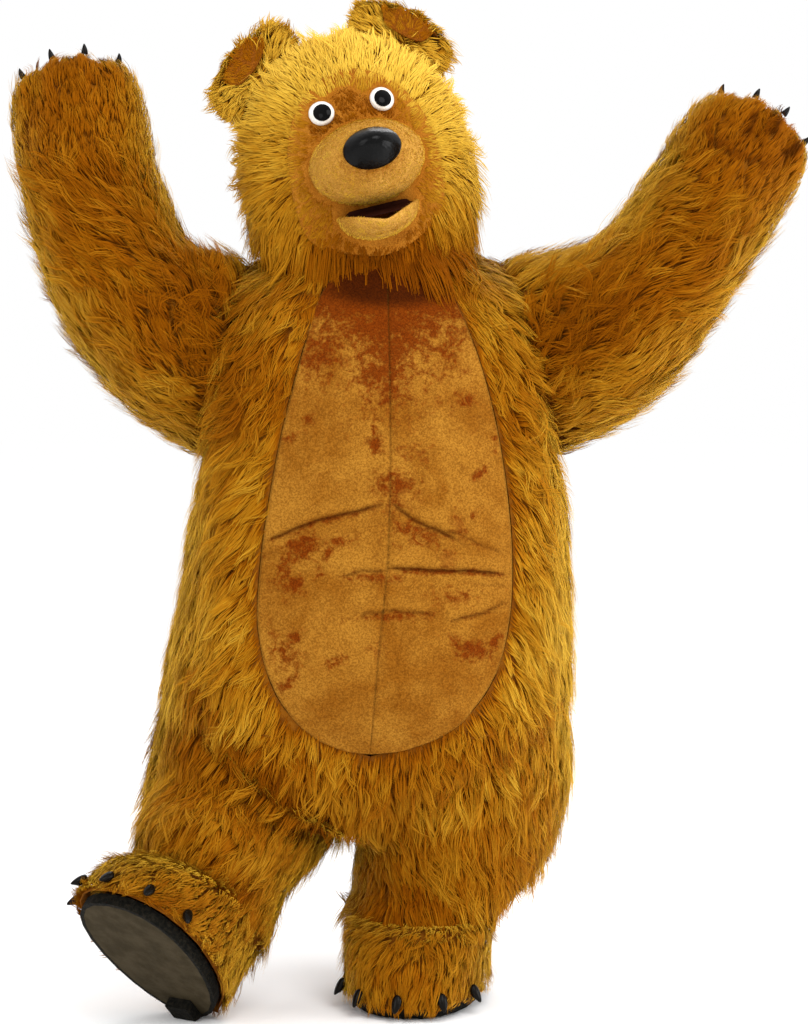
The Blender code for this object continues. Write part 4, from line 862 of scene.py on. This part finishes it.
HEAD_CENTRE = at(-0.037, -0.015, 1.708)
HEAD_TURN = Matrix.Rotation(math.radians(-14), 3, "Y") @ Matrix.Rotation(math.radians(7), 3, "Z")
HEAD_AXES = np.array(HEAD_TURN).T          # rows: the head's left, back and up
HEAD_INSIDE = [HEAD_CENTRE, HEAD_CENTRE + 1e-4]
FACE_MIDDLE = (0.0, -0.28, 0.01)           # in the head's axes, where the head's hair parts
FACE_PARTING = (0.0, -0.20, 0.02)          # the same for the face's short hair
DOWN = np.array((0.0, 0.0, -1.0))

# Lines inside the torso, the arms, the hands and the legs: left is 1 and right is -1.
TORSO_LINE = [at(0.0, 0.0, 1.42), at(0.01, 0.0, 1.0), at(-0.03, 0.0, 0.62), at(-0.05, 0.0, 0.46)]
ARM_LINES = {
    1: [at(0.30, -0.02, 1.32), at(0.50, -0.05, 1.44), at(0.683, -0.085, 1.636)],
    -1: [at(-0.29, -0.02, 1.31), at(-0.48, -0.05, 1.48), at(-0.577, -0.085, 1.700)],
}
HAND_LINES = {
    1: [at(0.683, -0.085, 1.636), at(0.775, -0.112, 1.790)],
    -1: [at(-0.577, -0.085, 1.700), at(-0.607, -0.112, 1.900)],
}
LEG_LINES = {
    1: [at(0.17, 0.0, 0.46), at(0.16, 0.01, 0.30), at(0.11, 0.0, 0.17)],
    -1: [at(-0.26, -0.02, 0.47), at(-0.31, -0.12, 0.32), at(-0.36, -0.22, 0.19)],
}
# The heel of each boot's sole, and its way to the toes.
BOOT_FRAMES = {
    1: (at(0.135, 0.118, 0.0255), Vector((-0.2070, -0.9765, -0.0600))),
    -1: (at(-0.360, -0.235, 0.0020), Vector((-0.3900, -0.5800, 0.7150))),
}
MIDDLE_X, HALF_TORSO = 0.01, 0.36          # X of the torso's middle, and half its width
ARMHOLE_X, ARMHOLE_HEIGHT = 0.25, 1.12     # past these the body's hair turns out over the sleeves
RIM_HEIGHT = 0.075         # under this height above the sole the boots' hair is trimmed
BETWEEN_BOOTS = -0.05      # X of the gap between the boots
EAR_PLACE = (0.110, 0.006, 0.170)          # an ear's foot, in the head's axes
EAR_HALF, EAR_LEAN = 0.060, math.radians(36)


def in_head(points):
    """Points in the head's own axes: left, back, up."""
    return (points - HEAD_CENTRE) @ HEAD_AXES.T


def forward(normals):
    """How far each place faces the front."""
    return np.clip(-normals[:, 1], 0.0, 1.0)


def body_flow(places, normals):
    """Down the body, outward from the belly and out over the sleeves."""
    out = np.zeros_like(places)
    height = places[:, 2] - FLOOR
    off_middle = places[:, 0] - MIDDLE_X
    aside = off_middle / HALF_TORSO
    low = ramp(height, 0.75, -0.25)
    front = forward(normals)
    armhole = ramp(np.abs(off_middle), ARMHOLE_X, 0.05) * ramp(height, ARMHOLE_HEIGHT, 0.06)
    outward = np.sign(aside) * np.clip(np.abs(aside) * 1.6, 0.0, 1.0)
    out[:, 0] = outward * (0.75 - 0.45 * low) * front + 1.6 * np.sign(aside) * armhole
    out[:, 1] = -0.15 * front
    out[:, 2] = -1.0
    return out


def head_flow(places, normals):
    """Away from the face, then down the back and over the chest."""
    own = in_head(places)
    out = unit(own - np.array(FACE_MIDDLE))
    back = ramp(own[:, 1], -0.02, 0.12)[:, None]
    low = ramp(own[:, 2], 0.02, -0.10)[:, None]
    return (out * (1.0 - back) + DOWN * (back + 0.8 * low)) @ HEAD_AXES


def face_flow(places, normals):
    """Away from the nose, upward over the brow."""
    return (in_head(places) - np.array(FACE_PARTING)) @ HEAD_AXES


def arm_flow(side):
    way = unit(ARM_LINES[side][-1] - ARM_LINES[side][0]) + 0.15 * DOWN
    return lambda places, normals: np.broadcast_to(way, places.shape) + normals * 0.2


def hand_flow(side):
    wrist, fingertips = HAND_LINES[side]
    way = unit(fingertips - wrist)
    return lambda places, normals: np.broadcast_to(way, places.shape)


def leg_flow(side):
    line = LEG_LINES[side]

    def flow(places, normals):
        way = np.broadcast_to(unit(line[-1] - line[0]), places.shape).copy()
        way[:, 0] += 0.45 * side * forward(normals)
        return way
    return flow


def boot_axes(side):
    """A boot's heel, its way to the toes and its way up from the sole."""
    heel, toe_way = BOOT_FRAMES[side]
    along = toe_way.normalized()
    across = Vector((0.0, 0.0, 1.0)).cross(along).normalized()
    return heel, np.array(along), np.array(along.cross(across))


def boot_flow(side):
    """Out from the ankle, but along the sole over its edge."""
    heel, along, up = boot_axes(side)
    ankle = heel + along * 0.12 + up * 0.17

    def flow(places, normals):
        rim = ramp(((places - heel) @ up)[:, None], RIM_HEIGHT, -0.05)
        out = unit(places - ankle)
        out = out - up * (out @ up)[:, None] * 0.85 * rim
        return out - up * 0.25 * (1.0 - rim)
    return flow


def boot_reach(places):
    """The boots' hair is trimmed short over the sole's edge."""
    left, right = ((places - heel) @ up for heel, _, up in (boot_axes(1), boot_axes(-1)))
    height = np.where(places[:, 0] > BETWEEN_BOOTS, left, right)
    return 1.0 - 0.45 * ramp(height, RIM_HEIGHT, -0.04)


def ear_middle(side):
    """The middle of an ear, halfway up."""
    x, y, z = EAR_PLACE
    lean = EAR_LEAN * side
    return HEAD_CENTRE + np.array((x * side + math.sin(lean) * EAR_HALF, y,
                                   z + math.cos(lean) * EAR_HALF)) @ HEAD_AXES


def ear_flow(side):
    middle = ear_middle(side)
    return lambda places, normals: unit(places - middle) + 0.1 * DOWN


# --- how long and how light the hair is ------------------------------------------------------

# Ovals on the face, seen in the head's axes: half width, height of the middle and half height.
MASK = (0.145, -0.002, 0.175)
MUZZLE = (0.122, -0.008, 0.087)
MUZZLE_FUZZ = (0.118, -0.008, 0.083)
MUZZLE_DARKER_MIDDLE = (0.085, -0.005, 0.060)
JAW = (0.090, -0.100, 0.064)
EYE_PLACES = (-0.062, 0.062)
EYE_HEIGHT, EYE_RADIUS = 0.108, 0.029
HALF_BODY = 0.35           # half the body's width
FINGER_HEIGHT = 1.68


def oval_out(own, oval):
    """How far out from the middle of an oval: 1 at its rim."""
    half_width, height, half_height = oval
    return np.hypot(own[:, 0] / half_width, (own[:, 2] - height) / half_height)


def gaps_to_eyes(own):
    return [np.hypot(own[:, 0] - x, own[:, 2] - EYE_HEIGHT) for x in EYE_PLACES]


def off_mask(places):
    """Whether a place on the head is outside the plush face."""
    own = in_head(places)
    return (oval_out(own, MASK) > 0.93) | (own[:, 1] > 0.0)


def off_features(places):
    """Whether a place on the face is clear of the muzzle, the jaw and the eyes."""
    own = in_head(places)
    clear = (oval_out(own, MUZZLE) > 1.0) & (oval_out(own, JAW) > 1.0)
    for gap in gaps_to_eyes(own):
        clear &= gap > EYE_RADIUS
    return clear


def in_front(places):
    """Where fuzz grows on the muzzle and the jaw: all over their fronts."""
    return in_head(places)[:, 1] < -0.12


def chin_droop(places):
    """How far the jaw's long hair hangs away from the head, forward and down."""
    own = in_head(places)
    low = ramp(own[:, 2], -0.085, -0.04) * ramp(own[:, 1], 0.0, -0.08)
    return low[:, None] * np.array((0.0, -0.020, -0.050))


def chin_reach(places):
    """The head's hair is longer under the jaw, where it hangs over the chest."""
    own = in_head(places)
    return 1.0 + 0.9 * ramp(own[:, 2], -0.095, -0.04) * ramp(own[:, 1], 0.0, -0.08)


def finger_reach(places):
    """The mitts' hair is shorter toward the fingertips."""
    height = places[:, 2] - FLOOR - 0.08 * np.sign(-places[:, 0])
    return 1.0 - 0.05 * ramp(height, FINGER_HEIGHT, 0.10)


def toward_edge(places):
    """0 well inside the plush face, 1 at its edge."""
    return ramp(oval_out(in_head(places), MASK), 0.72, 0.28)


def face_reach(places):
    """The face's short fur grows longer toward its edge."""
    return 1.0 + 1.1 * toward_edge(places)


def even(level):
    """The same lightness all over."""
    return lambda places: np.full(len(places), level)


def body_lightness(places):
    """Painted light on the wearer's left, painted shade at the crotch and armpits; darker over the
    chest.
    """
    height = places[:, 2] - FLOOR
    return (0.585 + 0.06 * np.clip(places[:, 0] / HALF_BODY, -0.5, 1.0)
            - 0.10 * ramp(height, 0.64, -0.15) - 0.10 * ramp(height, 1.05, 0.20)
            - 0.05 * matting(places))


def head_lightness(places):
    """Painted light upward and on the wearer's left, painted shade under the chin."""
    own = in_head(places)
    under = ramp(own[:, 2], -0.10, -0.06) * ramp(own[:, 1], 0.0, -0.1)
    return 0.74 + 1.0 * own[:, 2] + 0.42 * own[:, 0] - 0.24 * under


def painted_rim_share(places):
    """0 along the middle of each arm, 1 at the outer and inner sides, where rim light is painted.
    """
    seen = places[:, SEEN]
    lines = [(*ARM_LINES[side], HAND_LINES[side][-1]) for side, _ in SIDES]
    gaps = [gap_to_line(seen, [point[[*SEEN]] for point in line]) for line in lines]
    return ramp(np.min(gaps, axis=0), 0.065, 0.06)


# painted rim light toward the arms' sides, painted shade where the hair is matted
def sleeve_lightness(places):
    return 0.41 + 0.16 * painted_rim_share(places) - 0.05 * matting(places)


# painted rim light toward the mitts' sides
def mitt_lightness(places):
    return 0.43 + 0.12 * painted_rim_share(places)


def leg_lightness(places):
    """As light as the body at the hips; painted shade in the ankles' folds and between the legs."""
    height = places[:, 2] - FLOOR
    hip = ramp(height, 0.40, 0.14)
    ankle = ramp(height, 0.30, -0.10)
    inner = bell(places[:, 0] + 0.06, 0.07)
    return (0.50 + 0.13 * hip * np.clip(places[:, 0] / HALF_BODY, -0.2, 1.0) - 0.10 * ankle
            - 0.06 * inner)


def face_lightness(places):
    """The face's short fur: rust over the eyes, dark round them, as the head's at its edge."""
    own = in_head(places)
    inner = 0.50 - 0.18 * bell(own[:, 0], 0.09) * bell(own[:, 2] - 0.12, 0.05)
    for gap in gaps_to_eyes(own):
        inner = inner - 0.20 * bell(gap - EYE_RADIUS, 0.010)
    edge = toward_edge(places)
    return inner * (1.0 - edge) + head_lightness(places) * edge


def fuzz_lightness(places):
    """The muzzle's fuzz: pale at its rim, browner toward the mouth."""
    return 0.62 + 0.22 * ramp(oval_out(in_head(places), MUZZLE_FUZZ), 0.35, 0.5)


# density, length, width, untidiness, share of wisps and lightness; then how its length varies,
# how far it rises off the form, how it droops, how dark its roots are and how tightly its tufts
# close.
Look = namedtuple("Look", "density length width untidy wisps light reach rise droop contrast clump",
                  defaults=(None, 0.0, None, 1.0, 1.0))
# How the hair of each part looks.
LOOKS = {
    #        density length width  untidy wisps lightness
    "front": Look(1.05, 0.066, 0.0013, 0.45, 1.2, body_lightness, contrast=0.85, clump=0.9),
    "back": Look(0.60, 0.060, 0.0016, 0.45, 0.7, body_lightness),
    "sleeve": Look(1.00, 0.055, 0.0012, 0.60, 1.1, sleeve_lightness, contrast=0.82, clump=0.8),
    "mitt_front": Look(1.30, 0.032, 0.0011, 0.40, 0.6, mitt_lightness, finger_reach,
                       contrast=0.55, clump=0.8),
    "mitt_back": Look(1.10, 0.032, 0.0012, 0.40, 0.5, mitt_lightness, finger_reach,
                      contrast=0.6, clump=0.8),
    "leg": Look(1.00, 0.064, 0.0013, 0.50, 1.1, leg_lightness, contrast=0.85, clump=0.9),
    "boot_upper": Look(1.20, 0.042, 0.0012, 0.40, 0.8, even(0.53), boot_reach,
                       contrast=0.6, clump=0.8),
    "head": Look(1.15, 0.056, 0.0015, 0.24, 1.2, head_lightness, chin_reach,
                 droop=chin_droop, contrast=0.45, clump=0.55),
    "ear": Look(2.00, 0.030, 0.0015, 0.35, 1.0, even(0.78), contrast=0.45, clump=0.4),
    "face": Look(2.30, 0.014, 0.0008, 0.40, 0.0, face_lightness, face_reach, rise=0.0030,
                 contrast=0.5, clump=0.7),
    "ear_pad": Look(3.20, 0.020, 0.0009, 0.45, 0.0, even(0.46), rise=0.0030,
                    contrast=0.6, clump=0.6),
    "fuzz": Look(2.60, 0.006, 0.0006, 0.50, 0.0, fuzz_lightness, rise=0.0016,
                 contrast=0.5, clump=0.6),
}


# --- building the fur ------------------------------------------------------------------------

BACKING_DEPTH = 0.60       # share of the pile that stands over the backing
BACKING_THICKNESS = 0.002
PALM_SHARE = 0.60          # of a hand's length, that lies under its fingers


def add_fur(part, word, inside, flow, keep=None):
    """Backing cloth and hair for one node."""
    node = f"{part}_{word}"
    side = outer_side(node, inside)
    backing = add_sheet(f"{node}_backing", side, BACKING_DEPTH, BACKING)
    thicken(backing, BACKING_THICKNESS)
    hair = (side, flow, LOOKS[part], keep)
    locks = add_hair(f"{node}_fur", [undercoat(*hair), wisps(*hair)])
    enter(backing, node)
    enter(locks)


# Each tube's inside runs on beyond its cut edges, so that no hair grows on the edges themselves.
for side, word in SIDES:
    torso = [at(0.0, 0.0, 1.60), *TORSO_LINE, at(-0.05, 0.0, 0.25)]
    arm = [at(0.05 * side, -0.02, 1.15), *ARM_LINES[side], HAND_LINES[side][-1]]
    wrist, fingertips = HAND_LINES[side]
    hand = [ARM_LINES[side][1], wrist, wrist + PALM_SHARE * (fingertips - wrist)]
    leg = [at(0.10 * side, 0.0, 0.85), *LEG_LINES[side], LEG_LINES[side][-1] + (0.0, 0.0, -0.10)]
    heel, along, _ = boot_axes(side)
    boot = [heel + along * 0.17 + np.array((0.0, 0.0, 0.06)), *LEG_LINES[side][:0:-1]]
    add_fur("front", word, torso, body_flow)
    add_fur("back", word, torso, body_flow)
    add_fur("sleeve", word, arm, arm_flow(side))
    add_fur("mitt_front", word, hand, hand_flow(side))
    add_fur("mitt_back", word, hand, hand_flow(side))
    add_fur("leg", word, leg, leg_flow(side))
    add_fur("boot_upper", word, boot, boot_flow(side))
    add_fur("head", word, [HEAD_CENTRE, HEAD_CENTRE + (0.0, 0.0, -0.30)], head_flow, off_mask)
    add_fur("ear", word, [ear_middle(side), ear_middle(side) + 1e-4], ear_flow(side))


# --- the belly -------------------------------------------------------------------------------

# Where the belly's nap is crushed, and in the first three rows the head's painted shadow:
# X and height of the middle, half sizes, turn in degrees and how strongly the darker nap shows.
CRUSHED_NAP_AND_HEAD_SHADOW = (
    #  x       z      half x  half z  turn  strength
    (0.035, 1.465, 0.190, 0.060, 0, 1.75),
    (0.035, 1.390, 0.125, 0.052, 0, 1.02),
    (0.040, 1.310, 0.150, 0.110, 0, 0.42),
    (-0.100, 1.330, 0.050, 0.055, -10, 0.75),
    (0.025, 1.310, 0.060, 0.075, 4, 0.95),
    (0.155, 1.345, 0.055, 0.035, 14, 0.62),
    (0.190, 1.235, 0.018, 0.014, 20, 0.72),
    (0.243, 1.150, 0.008, 0.020, 0, 0.60),
    (0.007, 1.148, 0.013, 0.018, 0, 1.10),
    (0.003, 1.180, 0.004, 0.020, 6, 0.70),
    (-0.125, 1.200, 0.011, 0.011, 0, 0.70),
    (-0.157, 1.168, 0.022, 0.008, 20, 0.62),
    (0.210, 1.093, 0.024, 0.009, 38, 0.78),
    (0.044, 1.064, 0.042, 0.040, 0, 0.80),
    (0.085, 1.130, 0.035, 0.020, -20, 0.50),
    (0.170, 0.992, 0.015, 0.026, 14, 0.84),
    (0.196, 1.012, 0.016, 0.008, 30, 0.62),
    (0.146, 0.928, 0.016, 0.022, 8, 0.96),
    (0.078, 0.980, 0.060, 0.026, -22, 0.62),
    (-0.138, 0.952, 0.036, 0.026, 12, 0.92),
    (-0.168, 0.915, 0.016, 0.040, -28, 0.74),
    (-0.088, 0.940, 0.030, 0.010, 38, 0.72),
    (-0.063, 0.962, 0.030, 0.014, 10, 0.60),
    (-0.153, 0.872, 0.028, 0.018, 30, 0.84),
    (-0.104, 0.905, 0.012, 0.022, -15, 0.58),
    (0.000, 0.892, 0.055, 0.010, 0, 0.78),
    (0.160, 0.850, 0.050, 0.026, 0, 0.50),
    (0.050, 0.818, 0.085, 0.009, 2, 0.70),
    (0.196, 0.748, 0.038, 0.019, -14, 0.98),
    (0.241, 0.764, 0.020, 0.012, 40, 0.84),
    (0.163, 0.770, 0.018, 0.009, -34, 0.70),
    (-0.166, 0.742, 0.030, 0.034, 15, 0.72),
    (-0.166, 0.683, 0.026, 0.014, 38, 0.80),
    (-0.150, 0.772, 0.020, 0.014, 0, 0.70),
    (-0.073, 0.728, 0.032, 0.010, 20, 0.70),
    (-0.195, 0.765, 0.010, 0.040, 8, 0.62),
    (0.009, 0.751, 0.020, 0.020, 0, 0.42),
)
# Creases of the belly: from and to, bow, depth, and how high the cloth over it bulges.
BELLY_CREASES = (
    #  x1      z1      x2      z2     bow    depth  bulge
    (-0.212, 0.962, 0.029, 1.037, 0.006, 0.0075, 0.0065),
    (0.036, 1.036, 0.172, 0.962, -0.004, 0.0060, 0.0050),
    (0.140, 0.985, 0.262, 0.930, 0.003, 0.0035, 0.0025),
    (0.080, 0.995, 0.200, 0.950, 0.002, 0.0025, 0.0018),
    (-0.060, 0.897, 0.030, 0.908, 0.002, 0.0045, 0.0035),
    (0.025, 0.909, 0.272, 0.892, 0.005, 0.0080, 0.0065),
    (-0.026, 0.819, 0.030, 0.827, 0.001, 0.0040, 0.0030),
    (0.024, 0.827, 0.126, 0.816, 0.004, 0.0040, 0.0030),
    (0.148, 0.804, 0.272, 0.841, -0.003, 0.0050, 0.0042),
    (0.190, 0.878, 0.272, 0.868, 0.001, 0.0022, 0.0015),
    (-0.226, 0.925, -0.180, 0.945, 0.001, 0.0026, 0.0020),
    (-0.160, 0.690, -0.105, 0.742, 0.003, 0.0020, 0.0016),
)
CREASE_WIDTH = 0.0042      # how wide a crease is pressed in
CREASE_SHADE = 0.0075      # how far the painted shade under a crease reaches
VALLEY_WIDTH = 0.0034      # how wide the painted shade on a crease's floor is
FULL_CREASE = 0.008        # the depth of a crease whose painted shade is quite dark
BULGE_WIDTH = 0.015
LOWER_BULGE = 0.45         # the bulge under a crease, as a share of that over it
SEAM_DEPTH = 0.0028
SEAM_WIDTH = 0.0028
PIPING_WIDTH = 0.006       # where the plush turns down at its edge
PIPING_DEPTH = 0.004
PLUSH_LIFT = 0.0012        # how far the plush stands over the form
PLUSH_THICKNESS = 0.003
# The belly's sewn outline: height, and X of its right edge, its centre seam and its left edge.
BELLY_OUTLINE = (
    #  z       right    centre   left
    (1.5030, -0.072, 0.029, 0.130),
    (1.4520, -0.102, 0.030, 0.158),
    (1.3370, -0.138, 0.033, 0.205),
    (1.1990, -0.174, 0.035, 0.243),
    (1.0440, -0.204, 0.034, 0.268),
    (0.9100, -0.222, 0.029, 0.277),
    (0.7900, -0.226, 0.017, 0.269),
    (0.6930, -0.204, 0.008, 0.242),
    (0.6320, -0.173, 0.003, 0.203),
    (0.5860, -0.132, -0.001, 0.158),
    (0.5540, -0.080, -0.004, 0.090),
    (0.5415, -0.040, -0.005, 0.040),
    (0.5370, -0.005, -0.005, -0.005),
)
BELLY_COLUMNS = 40
BELLY_ROW_HEIGHT = 0.0034
ROW_CROWDING = 1.15        # above 1, rows lie closer together toward the bottom
SMOOTHING_PASSES = 40
# Steps aside for a place that meets the gap between two panels.
ASIDE = ((0.0, 0.0), (0.001, 0.0), (-0.001, 0.0), (0.0, -0.002), (0.0, -0.006), (0.0, -0.015))


def smooth_table(rows, column, z):
    """A column of a table at heights z, curved smoothly through its rows."""
    heights = np.array([row[0] for row in rows][::-1])
    values = np.array([row[column] for row in rows][::-1])
    slopes = np.gradient(values, heights)
    k = np.clip(np.searchsorted(heights, z) - 1, 0, len(rows) - 2)
    span = heights[k + 1] - heights[k]
    t = np.clip((z - heights[k]) / span, 0.0, 1.0)
    return ((2 * t ** 3 - 3 * t ** 2 + 1) * values[k] + (t ** 3 - 2 * t ** 2 + t) * span * slopes[k]
            + (3 * t ** 2 - 2 * t ** 3) * values[k + 1] + (t ** 3 - t ** 2) * span * slopes[k + 1])


def crease_relief(x, z):
    """How far the plush stands over its plain form, and the painted shade and highlight of its
    creases.
    """
    total, crush_and_shade, valley, lit = (np.zeros_like(x) for _ in range(4))
    for x1, z1, x2, z2, bow, depth, bulge in BELLY_CREASES:
        run = np.array((x2 - x1, z2 - z1))
        t = ((x - x1) * run[0] + (z - z1) * run[1]) / (run @ run)
        inside = ramp(t, -0.04, 0.14) * ramp(t, 1.05, -0.22)
        inside = inside * inside * (3.0 - 2.0 * inside)
        wander = 0.0016 * np.sin(9.0 * t + 40.0 * x1) + 0.0005 * np.sin(31.0 * t)
        away = z - (z1 + (z2 - z1) * t + bow * np.sin(np.pi * np.clip(t, 0.0, 1.0)) + wander)
        total -= depth * inside * bell(away, CREASE_WIDTH)
        total += bulge * inside * bell(away - BULGE_WIDTH, BULGE_WIDTH)
        total += LOWER_BULGE * bulge * inside * bell(away + BULGE_WIDTH, BULGE_WIDTH)
        # painted shade just under the crease, carried with the nap
        crush_and_shade = np.maximum(crush_and_shade, depth / FULL_CREASE * inside
                             * bell(away + 0.003, CREASE_SHADE))
        # painted highlight over the bulge and painted shade on the crease's floor
        strength = np.clip(1.3 * depth / FULL_CREASE, 0.0, 1.0) * inside
        lit = np.maximum(lit, strength * bell(away - 1.3 * BULGE_WIDTH, BULGE_WIDTH))
        valley = np.maximum(valley, strength * bell(away, VALLEY_WIDTH))
    return total, crush_and_shade, np.where(valley > 0.05, valley, -0.9 * lit)


def nap_and_shadow_strength(x, z):
    """Where the nap is crushed dark, and where the head's shadow is painted."""
    total = np.zeros_like(x)
    for x0, z0, half_x, half_z, turn, strength in CRUSHED_NAP_AND_HEAD_SHADOW:
        c, s = math.cos(math.radians(turn)), math.sin(math.radians(turn))
        u = ((x - x0) * c + (z - z0) * s) / half_x
        v = (-(x - x0) * s + (z - z0) * c) / half_z
        total = np.maximum(total, strength * np.exp(-0.7 * (u * u + v * v)))
    return total


def torso_front():
    """The form under the belly panel: the outsides of the belly and of both front panels."""
    corners = []
    for node in ("belly_left", "belly_right", "front_left", "front_right"):
        faces, points = outer_side(node, TORSO_LINE)[:2]
        corners.append(points[faces])
    return form_of(np.concatenate(corners))


FRONT_FORM = torso_front()


def front_depth(x, z):
    """Y of the torso's front at X and a height above the floor."""
    for dx, dz in ASIDE:
        start = Vector((x + dx, -1.0, z + dz + FLOOR))
        place = FRONT_FORM.ray_cast(start, Vector((0.0, 1.0, 0.0)))[0]
        if place is not None:
            return place.y
    raise ValueError(f"nothing in front at {x:.3f}, {z:.3f}")


def belly_grid(side):
    """X, height and depth of a belly half's points, row by row from the neck down."""
    top, bottom = BELLY_OUTLINE[0][0], BELLY_OUTLINE[-1][0]
    t = np.linspace(0.0, 1.0, int((top - bottom) / BELLY_ROW_HEIGHT))
    z = top + (bottom - top) * (1.0 - (1.0 - t) ** ROW_CROWDING)
    column = 3 if side > 0 else 1
    edge, seam = smooth_table(BELLY_OUTLINE, column, z), smooth_table(BELLY_OUTLINE, 2, z)
    share = np.linspace(0.0, 1.0, BELLY_COLUMNS)[None]
    x = seam[:, None] * (1.0 - share) + edge[:, None] * share
    z = np.broadcast_to(z[:, None], x.shape)
    y = np.empty_like(x)
    for place in np.ndindex(x.shape):
        y[place] = front_depth(x[place], z[place])
    for _ in range(SMOOTHING_PASSES):
        smooth = y.copy()
        smooth[1:-1] += 0.25 * (y[2:] - 2.0 * y[1:-1] + y[:-2])
        smooth[:, 1:-1] += 0.25 * (y[:, 2:] - 2.0 * y[:, 1:-1] + y[:, :-2])
        y = smooth
    return x, z, y


def grid_mesh(name, points):
    """A sheet of quads through a grid of points, facing forward."""
    rows, columns = points.shape[:2]
    k = np.arange(rows * columns).reshape(rows, columns)
    faces = np.stack([k[:-1, :-1], k[:-1, 1:], k[1:, 1:], k[1:, :-1]], axis=-1).reshape(-1, 4)
    mesh = bpy.data.meshes.new(name)
    mesh.from_pydata(points.reshape(-1, 3).tolist(), [], faces.tolist())
    tidy = bmesh.new()
    tidy.from_mesh(mesh)
    bmesh.ops.remove_doubles(tidy, verts=tidy.verts, dist=1e-5)
    bmesh.ops.recalc_face_normals(tidy, faces=tidy.faces)
    tidy.to_mesh(mesh)
    tidy.free()
    return mesh


def add_panel(piece, node, thickness):
    """A plush panel's thickness, standing for its node."""
    thicken(piece, thickness)
    enter(piece, node)


def add_belly(side, word):
    x, z, y = belly_grid(side)
    relief = crease_relief(x, z)[0]
    seam = SEAM_DEPTH * bell(x - x[:, :1], SEAM_WIDTH)
    rim = np.clip(1.0 - np.abs(x[:, -1:] - x) / PIPING_WIDTH, 0.0, 1.0) * PIPING_DEPTH
    points = np.stack([x, y - relief + seam + rim - PLUSH_LIFT, z + FLOOR], axis=-1)
    mesh = grid_mesh(f"belly_{word}_plush", points)
    piece = add_piece(f"belly_{word}_plush", mesh, BELLY_PLUSH)
    face_outward(piece, lambda centre: Vector((0.0, -1.0, 0.0)))
    spots = vertex_points(mesh)
    x, z = spots[:, 0], spots[:, 2] - FLOOR
    # painted shade under the creases is written with the nap, their painted shade and highlight
    # apart
    crush_and_shade, valley = crease_relief(x, z)[1:]
    write_floats(mesh, "nap_and_shade", np.maximum(nap_and_shadow_strength(x, z), 0.60 * crush_and_shade))
    write_floats(mesh, "painted_crease_light", valley)
    add_panel(piece, f"belly_{word}", PLUSH_THICKNESS)


for side, word in SIDES:
    add_belly(side, word)


# --- head pieces, claws and soles ------------------------------------------------------------

def smooth_copy(node, finish, levels=2):
    """A node's own form, its facets smoothed away."""
    points, faces = merged(triangles_of(node))
    faces = [face for face in faces if len(set(face)) == 3]
    piece = add_piece(f"{node}_smooth", sheet_mesh(f"{node}_smooth", points, faces), finish)
    subdivide(piece, levels)
    piece.data.shade_smooth()
    enter(piece, node)
    return piece


def add_short_hair(part, node, side, flow, keep):
    """Short fur on a plush piece: undercoat alone, with no backing of its own."""
    enter(add_hair(f"{node}_hair", [undercoat(side, flow, LOOKS[part], keep)]))


face = outer_side("face_patch", HEAD_INSIDE)
mask = add_sheet("face_patch_plush", face, 0.0, FACE_PLUSH)
subdivide(mask, 2)
add_panel(mask, "face_patch", 0.004)
add_short_hair("face", "face_patch", face, face_flow, off_features)


def muzzle_brown_and_shade(own):
    """The plush's own browner middle, and painted shade round the nose and over the lip."""
    return np.clip(1.15 - oval_out(own, MUZZLE_DARKER_MIDDLE), 0.0, 1.0) * ramp(own[:, 1], -0.24, -0.06)


def jaw_darker_lip(own):
    """The plush is darker toward the top of the jaw, along the lower lip."""
    return ramp(own[:, 2], -0.118, 0.03)


for node, nap_and_shade in (("muzzle", muzzle_brown_and_shade), ("lower_jaw", jaw_darker_lip)):
    piece = smooth_copy(node, MUZZLE_PLUSH)
    write_floats(piece.data, "nap_and_shade", nap_and_shade(in_head(vertex_points(piece.data))))
    side = outer_side(node, HEAD_INSIDE)
    add_short_hair("fuzz", node, side, face_flow, in_front)

smooth_copy("nose", NOSE_GLOSS)
smooth_copy("mouth_lining", MOUTH_FELT, levels=1)
for side, word in SIDES:
    smooth_copy(f"eye_{word}", EYE_GLOSS)
    smooth_copy(f"pupil_{word}", PUPIL_GLOSS)
    pad = smooth_copy(f"ear_pad_{word}", EAR_PLUSH)
    behind = ear_middle(side) + HEAD_AXES[1] * 0.10
    front = outer_side(f"ear_pad_{word}", [behind, behind + 1e-4])
    add_short_hair("ear_pad", f"ear_pad_{word}", front, ear_flow(side), None)

for side, word in SIDES:
    for k in range(1, 5):
        smooth_copy(f"hand_claw_{word}_{k}", CLAW_GLOSS)
    for k in range(1, 6):
        smooth_copy(f"foot_claw_{word}_{k}", CLAW_GLOSS)
    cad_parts[f"sole_{word}"].data.materials[0] = SOLE_SUEDE
    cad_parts[f"sole_binding_{word}"].data.materials[0] = ROUGH_BINDING
    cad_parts[f"heel_block_{word}"].data.materials[0] = ROUGH_BINDING
